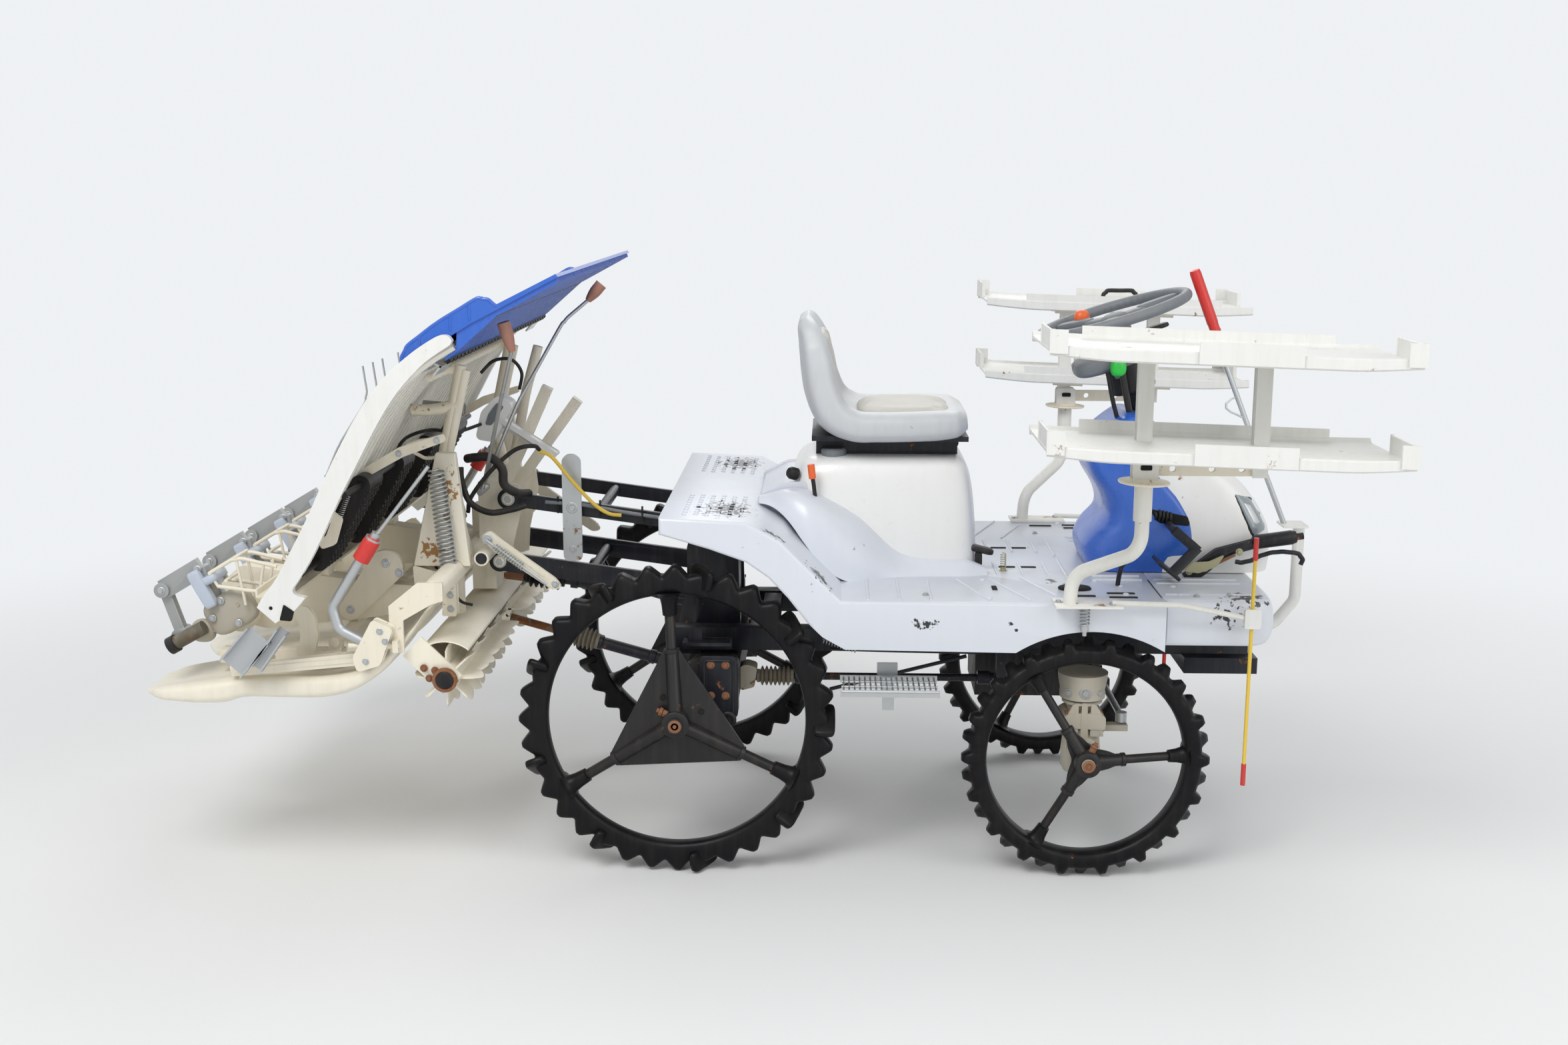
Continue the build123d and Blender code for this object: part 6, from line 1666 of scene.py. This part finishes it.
def buildWheelTrim(place, trim, side, word):
    # sockets and collars on three spokes, the hub's ring and axle end, a clamp bolt, and holes or webs
    body = f"wheel_{place}_{word}"
    sockets, collars = [], []
    for angle in trim["angles"]:
        a, b, c = (
            spokePlace(trim, angle, r, side)
            for r in (trim["inner"] - trim["socket"], trim["inner"] + 4, trim["collar"][0])
        )
        long = np.linalg.norm(b - a)
        r = trim["rod"]
        sockets.append((a, b - a, [
            (0, r + 1), (1, r + 4), (long * 0.5, r + 6), (long * 0.8, r + 9), (long * 0.93, r + 15), (long, r + 24)
        ]))
        collars.append((c - (b - a) / long * 9, b - a, [
            (0, trim["collar"][1]), (1, trim["collar"][1] + 1.6), (10, trim["collar"][1] + 1.6), (11, r)
        ]))
    turnedSet(f"sockets.{place}.{word}", sockets, body, "rubberTyre", 28)
    turnedSet(f"collars.{place}.{word}", collars, body, "rustyBlack", 28)
    face, wide = trim["nut"]
    turnedSet(f"hubRing.{place}.{word}", [((trim["x"], side * (face - 4.5), trim["z"]), (0, side, 0), [
        (0, wide + 9), (4, wide + 9), (6, wide + 6), (6, 17), (4, 16.5)
    ])], body, "rustyBlack", 36)
    end, r = trim["axle"]
    carrier = "chassis" if place == "rear" else f"steer_{word}"
    turnedSet(f"axleEnd.{place}.{word}", [((trim["x"], side * (end - 9), trim["z"]), (0, side, 0), [
        (0, r), (9.5, r), (11, r - 2), (11, r * 0.62), (9, r * 0.55), (9, r * 0.3), (12, r * 0.25), (12, 1)
    ])], carrier, "rustyBar", 30)
    if place == "rear":
        clamp = [((-14, side * 452, 378), (-0.9, 0, 0.42), [
            (0, 8), (16, 8), (17, 5), (18, 9.5), (25, 9.5), (25, 5), (31, 5), (31, 1)
        ])]
        # black discs paint the shade inside the plate's three holes
        holes = [
            ((x, side * 441, z), (0, side, 0), [(0, 7), (1.2, 7), (1.2, 1)])
            for x, z in ((57, 384), (-15, 328), (-29, 416))
        ]
        turnedSet(f"plateHoles.{word}", holes, body, "hole", 20)
    else:
        clamp = [((934, side * 462, 306), (0.42, 0, 0.9), [
            (0, 8), (10, 8), (11, 5), (12, 8.5), (18, 8.5), (18, 5), (24, 5), (24, 1)
        ])]
        webs = []
        for angle in trim["angles"]:
            t = np.linspace(0, 1, 13)
            reach = 30 + 52 * np.abs(2 * t - 1) ** 2.2
            curve = [
                (trim["x"] + r * cos(k), trim["z"] + r * sin(k)) for r, k in zip(reach, np.radians(angle + 120 * t))
            ]
            webs.append((curve + [(trim["x"], trim["z"])], *span(side, 437, 449)))
        slabPiece(f"hubWebs.{word}", webs, body, "rustyBlack")
    turnedSet(f"clampBolt.{place}.{word}", clamp, body, "rustyBar", 8)


for place, trim in wheelTrim.items():
    for side, word in bothSides:
        buildWheelTrim(place, trim, side, word)

# Steered knuckles, the housing above each, plates and shafts below the floor
for side, word in bothSides:
    y = side * 350
    core = [
        ((925, y, 399), (0, 0, -1), [
            (0, 44), (3, 46), (7, 46), (10, 38), (26, 31), (38, 31), (60, 36), (90, 42), (120, 45), (160, 45),
            (172, 38), (175, 20), (175, 2)
        ]),
        ((925, y, 280), (0, side, 0), [(0, 34), (38, 38), (46, 38), (48, 30), (49, 15), (136, 15), (136, 2)])
    ]
    verts, faces = joined([turnedArrays(*shape, 36) for shape in core] + [
        slabArrays(
            rounded([(876, 340), (974, 336), (974, 366), (958, 374), (892, 374), (876, 364)], 6), y - 46, y + 46
        ),
        slabArrays(rounded([(888, 372), (900, 396), (912, 398), (912, 330), (884, 330)], 3), y - 44, y - 34),
        slabArrays(rounded([(940, 398), (950, 396), (966, 372), (970, 320), (940, 320)], 3), y - 44, y - 34),
        slabArrays([(919, 400), (931, 400), (935, 300), (917, 300)], *sorted((y + side * 30, y + side * 47))),
        slabArrays([(945, 316), (1034, 316), (1034, 330), (945, 330)], *span(side, 340, 312))
    ])
    knuckle = smoothShade(closedPiece(f"knuckle.{word}", (verts, faces), f"steer_{word}", "sandyCast"))
    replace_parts(knuckle, f"knuckle_{word}")
    turnedSet(f"housing.{word}", [((925, y, 402.5), (0, 0, 1), [
        (0, 48), (1, 51.5), (14, 52), (20, 51), (40, 55), (59, 57), (60, 50), (60, 10)
    ])], "chassis", "sandyCast", 36)
    boltSet(f"housingBolts.{word}", [
        (889, y + side * 38, 421, (-0.5, side, 0), 11.0), (957, y + side * 38, 421, (0.5, side, 0), 11.0),
        (925, y + side * 52, 424, (0, side, 0), 14.0)
    ], "chassis", "greyCast")
    boltSet(f"knuckleBolts.{word}", [
        (892, y + side * 30, 374, (0, 0, 1), 12.0), (958, y + side * 30, 374, (0, 0, 1), 12.0)
    ], f"steer_{word}", "rustyBar")
    slabPiece(f"axlePlate.{word}", [plate([
        (48, 486), (131, 486), (131, 345), (112, 322), (30, 318), (30, 400), (48, 420)
    ], 10, side, 346, 352)], "chassis", "blackPaint")
    rim = rounded([(57, 478), (124, 478), (124, 352), (108, 332), (57, 332)], 10)
    path = [(x, side * 352, z) for x, z in rim]
    tubePiece(f"axleRim.{word}", path + path[:1], 6.0, "chassis", "blackPaint", 90, 10)
    sideBolts(f"axleBolts.{word}", side, 352.5, 10.0, ((73, 468), (107, 468), (73, 395), (107, 395)),
              "chassis", "rustyBar")
    slabPiece(f"axleAngle.{word}", [
        ([(8, 494), (118, 494), (118, 516), (8, 516)], *span(side, 300, 306)),
        ([(8, 514), (118, 514), (118, 519), (8, 519)], *span(side, 300, 352)),
        plate([(20, 517), (52, 517), (50, 545), (36, 552), (24, 545)], 5, side, 330, 334)
    ], "chassis", "blackPaint", bevel=1.2)
    turnedSet(f"plateBoss.{word}", [(
        (112, side * 352, 338), (0, side, 0), [(0, 20), (5, 20), (7, 17), (7, 12), (4, 11), (4, 1)]
    )], "chassis", "rustyBlack", 28)
    slabPiece(f"casting.{word}", [plate([
        (136, 372), (166, 380), (172, 425), (150, 432), (136, 428)
    ], 6, side, 176, 226)], "chassis", "sandyCast", bevel=4.0)

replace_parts(turnedSet("driveShafts", [
    ((136.5, side * 200, 400), (1, 0, 0), [
        (0, 12), (36, 12), (37, 8), (126, 8), (127, 17), (134, 19), (160, 19), (168, 14), (170, 9), (560, 9),
        (561, 16), (590, 16), (592, 12), (600, 12)
    ]) for side in (-1, 1)
], "chassis", "blackPaint"), "drive_shafts")
turnedSet("driveBellows", [
    ((136.5, side * 200, 400), (1, 0, 0), bellowsProfile(44, 116, 24, 14, 7)) for side in (-1, 1)
], "chassis", "rubberSandy", 28)

# Shafts to the planter and to the rotor
way = np.array([-508.0, 0.0, 59.0])
long = float(np.linalg.norm(way))
planterShaft = turnedSet("planterShaft", [((60, -80, 562), way, [
    (0, 12), (30, 12), (31, 18), (62, 18), (64, 13), (150, 13), (152, 16), (330, 16), (332, 19), (348, 19), (349, 12),
    (long - 42, 12), (long - 41, 15), (long, 15)
])], "planter_shaft", "blackPaint", 28)
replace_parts(planterShaft, "planter_shaft")
turnedSet("planterBellows", [
    ((60, -80, 562), way, bellowsProfile(372, 452, 29, 17, 6))
], "planter_shaft", "rubberBoot", 32)
spinWay = np.array([-405.0, 0.0, 113.0])
spinTube = turnedSet("rotorTube", [((-52, 0, 375), spinWay, [
    (0, 8), (0, 15), (40, 15), (41, 18), (56, 18), (58, 15), (176, 15), (178, 19), (188, 19), (190, 15), (284, 15),
    (285, 19), (294, 19), (294, 11), (62, 11)
])], "rotor_shaft_tube", "blackPaint", 28)
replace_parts(spinTube, "rotor_shaft_tube")
turnedSet("rotorBellows", [(
    (-52, 0, 375), spinWay, bellowsProfile(196, 282, 28, 18, 8)
)], "rotor_shaft_tube", "rubberSandy", 32)
turnedSet("planterShaftEnd", [((60, -80, 562), way, [
    (long - 48, 13), (long - 48, 17), (long - 2, 17), (long - 2, 8)
])], "planter_shaft", "rustyBar")

# Poles and rods at the front: the marker pole's red sleeve and loop, the sight rods' red ends

turnedSet("markerSleeve", [((1265, 0, 1206), (-58, 0, 147), [
    (0, 11), (1, 13.5), (6, 13.5), (7, 12.6), (22, 12.6), (23, 13.5), (150, 13.5), (158, 12), (160, 5)
])], "chassis", "red")
pole = rodPiece("markerPoleRod", [
    (1455, 0, 737), (1372, 0, 934), (1290, 0, 1135), (1262, 0, 1214)
], 13.0, "chassis", "galvanised", sides=16)
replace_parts(pole, "marker_pole")
rodPiece("markerLoop", [
    (1322, 0, 1052), (1302, -4, 1042), (1293, -8, 1030), (1302, -8, 1018), (1330, -4, 1006), (1346, 0, 998)
], 5.0, "chassis", "galvanised", bend=8.0)
for side, word in bothSides:
    sight = rodSet(f"sightRod.{word}", [
        ([(1272, side * 468, 285), (1272, side * 468, 750)], 8.4)
    ], "chassis", "yellow", sides=16)
    ends = [([(1272, side * 468, z), (1272, side * 468, z + 50)], 11.0) for z in (750, 235)]
    rodSet(f"sightEnds.{word}", ends, "chassis", "red", sides=16)
    slabPiece(f"sightClip.{word}", [
        plate([(1256, 600), (1288, 600), (1288, 640), (1256, 640)], 4, side, 462, 480)
    ], "chassis", "whitePaint")
    if side < 0:
        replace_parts(sight, "sight_rods")

# Assist handle, brake lever and linkage beside the hood
y = -196.0
slabPiece("handleArm", [(rounded([
    (1172, 652), (1216, 652), (1240, 672), (1262, 700), (1368, 730), (1362, 748), (1246, 716), (1196, 676)
], 6), y - 7, y + 7)], "chassis", "blackPaint", bevel=2.5)
turnedSet("handleGrip", [(
    (1330, y, 733), (104, 0, 15), [(0, 9), (3, 15), (12, 17), (92, 17), (102, 14), (106, 6)]
)], "chassis", "blackPlastic")
assist = rodPiece("handleBar", [
    (1200, y, 664), (1262, y, 704), (1340, y, 733), (1448, y, 750)
], 17.0, "chassis", "blackPaint", bend=24.0, sides=16)
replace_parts(assist, "assist_handle")
rodPiece("brakeLever", [
    (1291, y - 14, 690), (1315, y - 14, 686), (1359, y - 14, 711), (1412, y - 14, 716), (1450, y - 14, 706),
    (1442, y - 14, 684)
], 11.0, "chassis", "blackPaint", bend=14.0)
rodPiece("brakeLink", [
    (1200, y - 12, 668), (1232, y - 12, 676), (1290, y - 12, 706)
], 7.0, "chassis", "rustyBar", bend=8.0)
slabPiece("handlePlate", [(rounded([
    (1172, 668), (1190, 688), (1228, 690), (1262, 706), (1246, 680), (1206, 664)
], 5), y - 22, y - 18)], "chassis", "zinc", bevel=1.0)
boltSet("handleBolts", [
    (1222, y - 8, 674, (0, -1, 0), 11.0), (1300, y - 8, 712, (0, -1, 0), 9.0), (1186, y - 8, 664, (0, -1, 0), 9.0)
], "chassis", "zinc")
rodPiece("floorStop", [
    (1004, -300, 652), (1008, -300, 686), (1014, -300, 706), (1032, -300, 712)
], 11.0, "chassis", "blackPaint", bend=12.0)

# Side steps: open galvanised gratings in their place below the floor
for side, word in bothSides:
    bars = [([(x, side * 372, 449), (x, side * 488, 449)], 4.5) for x in np.linspace(378, 583, 18)]
    bars += [([(373, side * b, 449), (588, side * b, 449)], 6.5) for b in (372, 410, 450, 488)]
    grating = rodSet(f"stepGrating.{word}", bars, "chassis", "galvanised", sides=8)
    slabPiece(f"stepFrame.{word}", [
        ([(371, 438), (590, 438), (590, 452), (371, 452)], *span(side, 486, 490)),
        ([(371, 438), (590, 438), (590, 452), (371, 452)], *span(side, 370, 374))
    ], "chassis", "galvanised", bevel=1.0)
    if side < 0:
        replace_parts(grating, "side_steps")
rodSet("underFloorRods", [
    ([(347, -250, 383), (667, -250, 467)], 9.0), ([(347, -240, 478), (500, -236, 474), (700, -230, 470)], 8.0)
], "chassis", "blackPaint")
slabPiece("stepHanger", [
    ([(468, 450), (492, 450), (492, 376), (468, 376)], -384, -379),
    ([(456, 452), (500, 452), (500, 478), (456, 478)], -360, -355)
], "chassis", "galvanised", bevel=1.5)
springPiece("underSpring", (330, -258, 505), (410, -256, 480), 14.0, 2.4, 12, "chassis", "galvanised", 10)
rodPiece("farTrayHandle", [
    (1100, 700, 1238), (1106, 700, 1262), (1190, 700, 1262), (1196, 700, 1238)
], 12.0, "rack_left", "blackPlastic", bend=10.0)
print("front rods made")

# Light, floor and backdrop

stage = {
    "back": (0.86, 0.88, 0.90, 1), "light": 0.55, "floor": (0.84, 0.84, 0.835, 1), "reach": 30.0, "down": -0.0005,
    "fade": (1.7, 4.2), "aim": (0, 0, 0.6),
    "lamps": (
        ("keyLight", (-1.5, -3.6, 4.6), 2.4, 150.0), ("fillLight", (3.4, -3.2, 2.6), 3.0, 55.0),
        ("rimLight", (0.5, 3.6, 3.8), 3.0, 70.0)
    )
}


def seenDirectly(tree):
    # 1 where the camera or a reflection sees the surface, else 0
    paths = tree.nodes.new("ShaderNodeLightPath")
    return addMath(tree, "MAXIMUM", paths.outputs["Is Camera Ray"], paths.outputs["Is Glossy Ray"])


def buildStage():
    # a plain world, a matt floor that fades into its colour with distance, and three area lamps
    world = bpy.data.worlds.new("studio")
    bpy.context.scene.world = world
    world.use_nodes = True
    tree = world.node_tree
    strength = addRange(tree, seenDirectly(tree), 0.0, 1.0, stage["light"], 1.0)
    back = tree.nodes["Background"]
    back.inputs["Color"].default_value = stage["back"]
    tree.links.new(strength, back.inputs["Strength"])
    floor = bpy.data.meshes.new("floor")
    corners = [
        (x * stage["reach"], y * stage["reach"], stage["down"]) for x, y in ((-1, -1), (1, -1), (1, 1), (-1, 1))
    ]
    floor.from_pydata(corners, [], [(0, 1, 2, 3)])
    ground = addObject("floor", floor)
    pale = bpy.data.materials.new("paleFloor")
    pale.use_nodes = True
    tree = pale.node_tree
    shader = tree.nodes["Principled BSDF"]
    shader.inputs["Base Color"].default_value = stage["floor"]
    shader.inputs["Roughness"].default_value = 0.9
    glow = addNode(tree, "ShaderNodeEmission", None, Color=stage["back"], Strength=1.0)
    place = tree.nodes.new("ShaderNodeTexCoord").outputs["Object"]
    far = addNode(tree, "ShaderNodeVectorMath", {"operation": "LENGTH"}, i0=place).outputs["Value"]
    near, end = stage["fade"]
    fade = addNode(tree, "ShaderNodeMapRange", {"interpolation_type": "SMOOTHSTEP"}, i0=far, i1=near, i2=end)
    share = addMath(tree, "MULTIPLY", fade.outputs[0], seenDirectly(tree))
    blend = addNode(tree, "ShaderNodeMixShader", None, i0=share, i1=shader.outputs[0], i2=glow.outputs[0])
    tree.links.new(blend.outputs[0], tree.nodes["Material Output"].inputs["Surface"])
    floor.materials.append(pale)
    for name, place, size, power in stage["lamps"]:
        lamp = bpy.data.lights.new(name, "AREA")
        lamp.size = size
        lamp.energy = power
        aim = (Vector(stage["aim"]) - Vector(place)).to_track_quat("-Z", "Y").to_matrix().to_4x4()
        addObject(name, lamp).matrix_world = Matrix.Translation(place) @ aim


buildStage()
bpy.context.scene.view_settings.view_transform = "Standard"
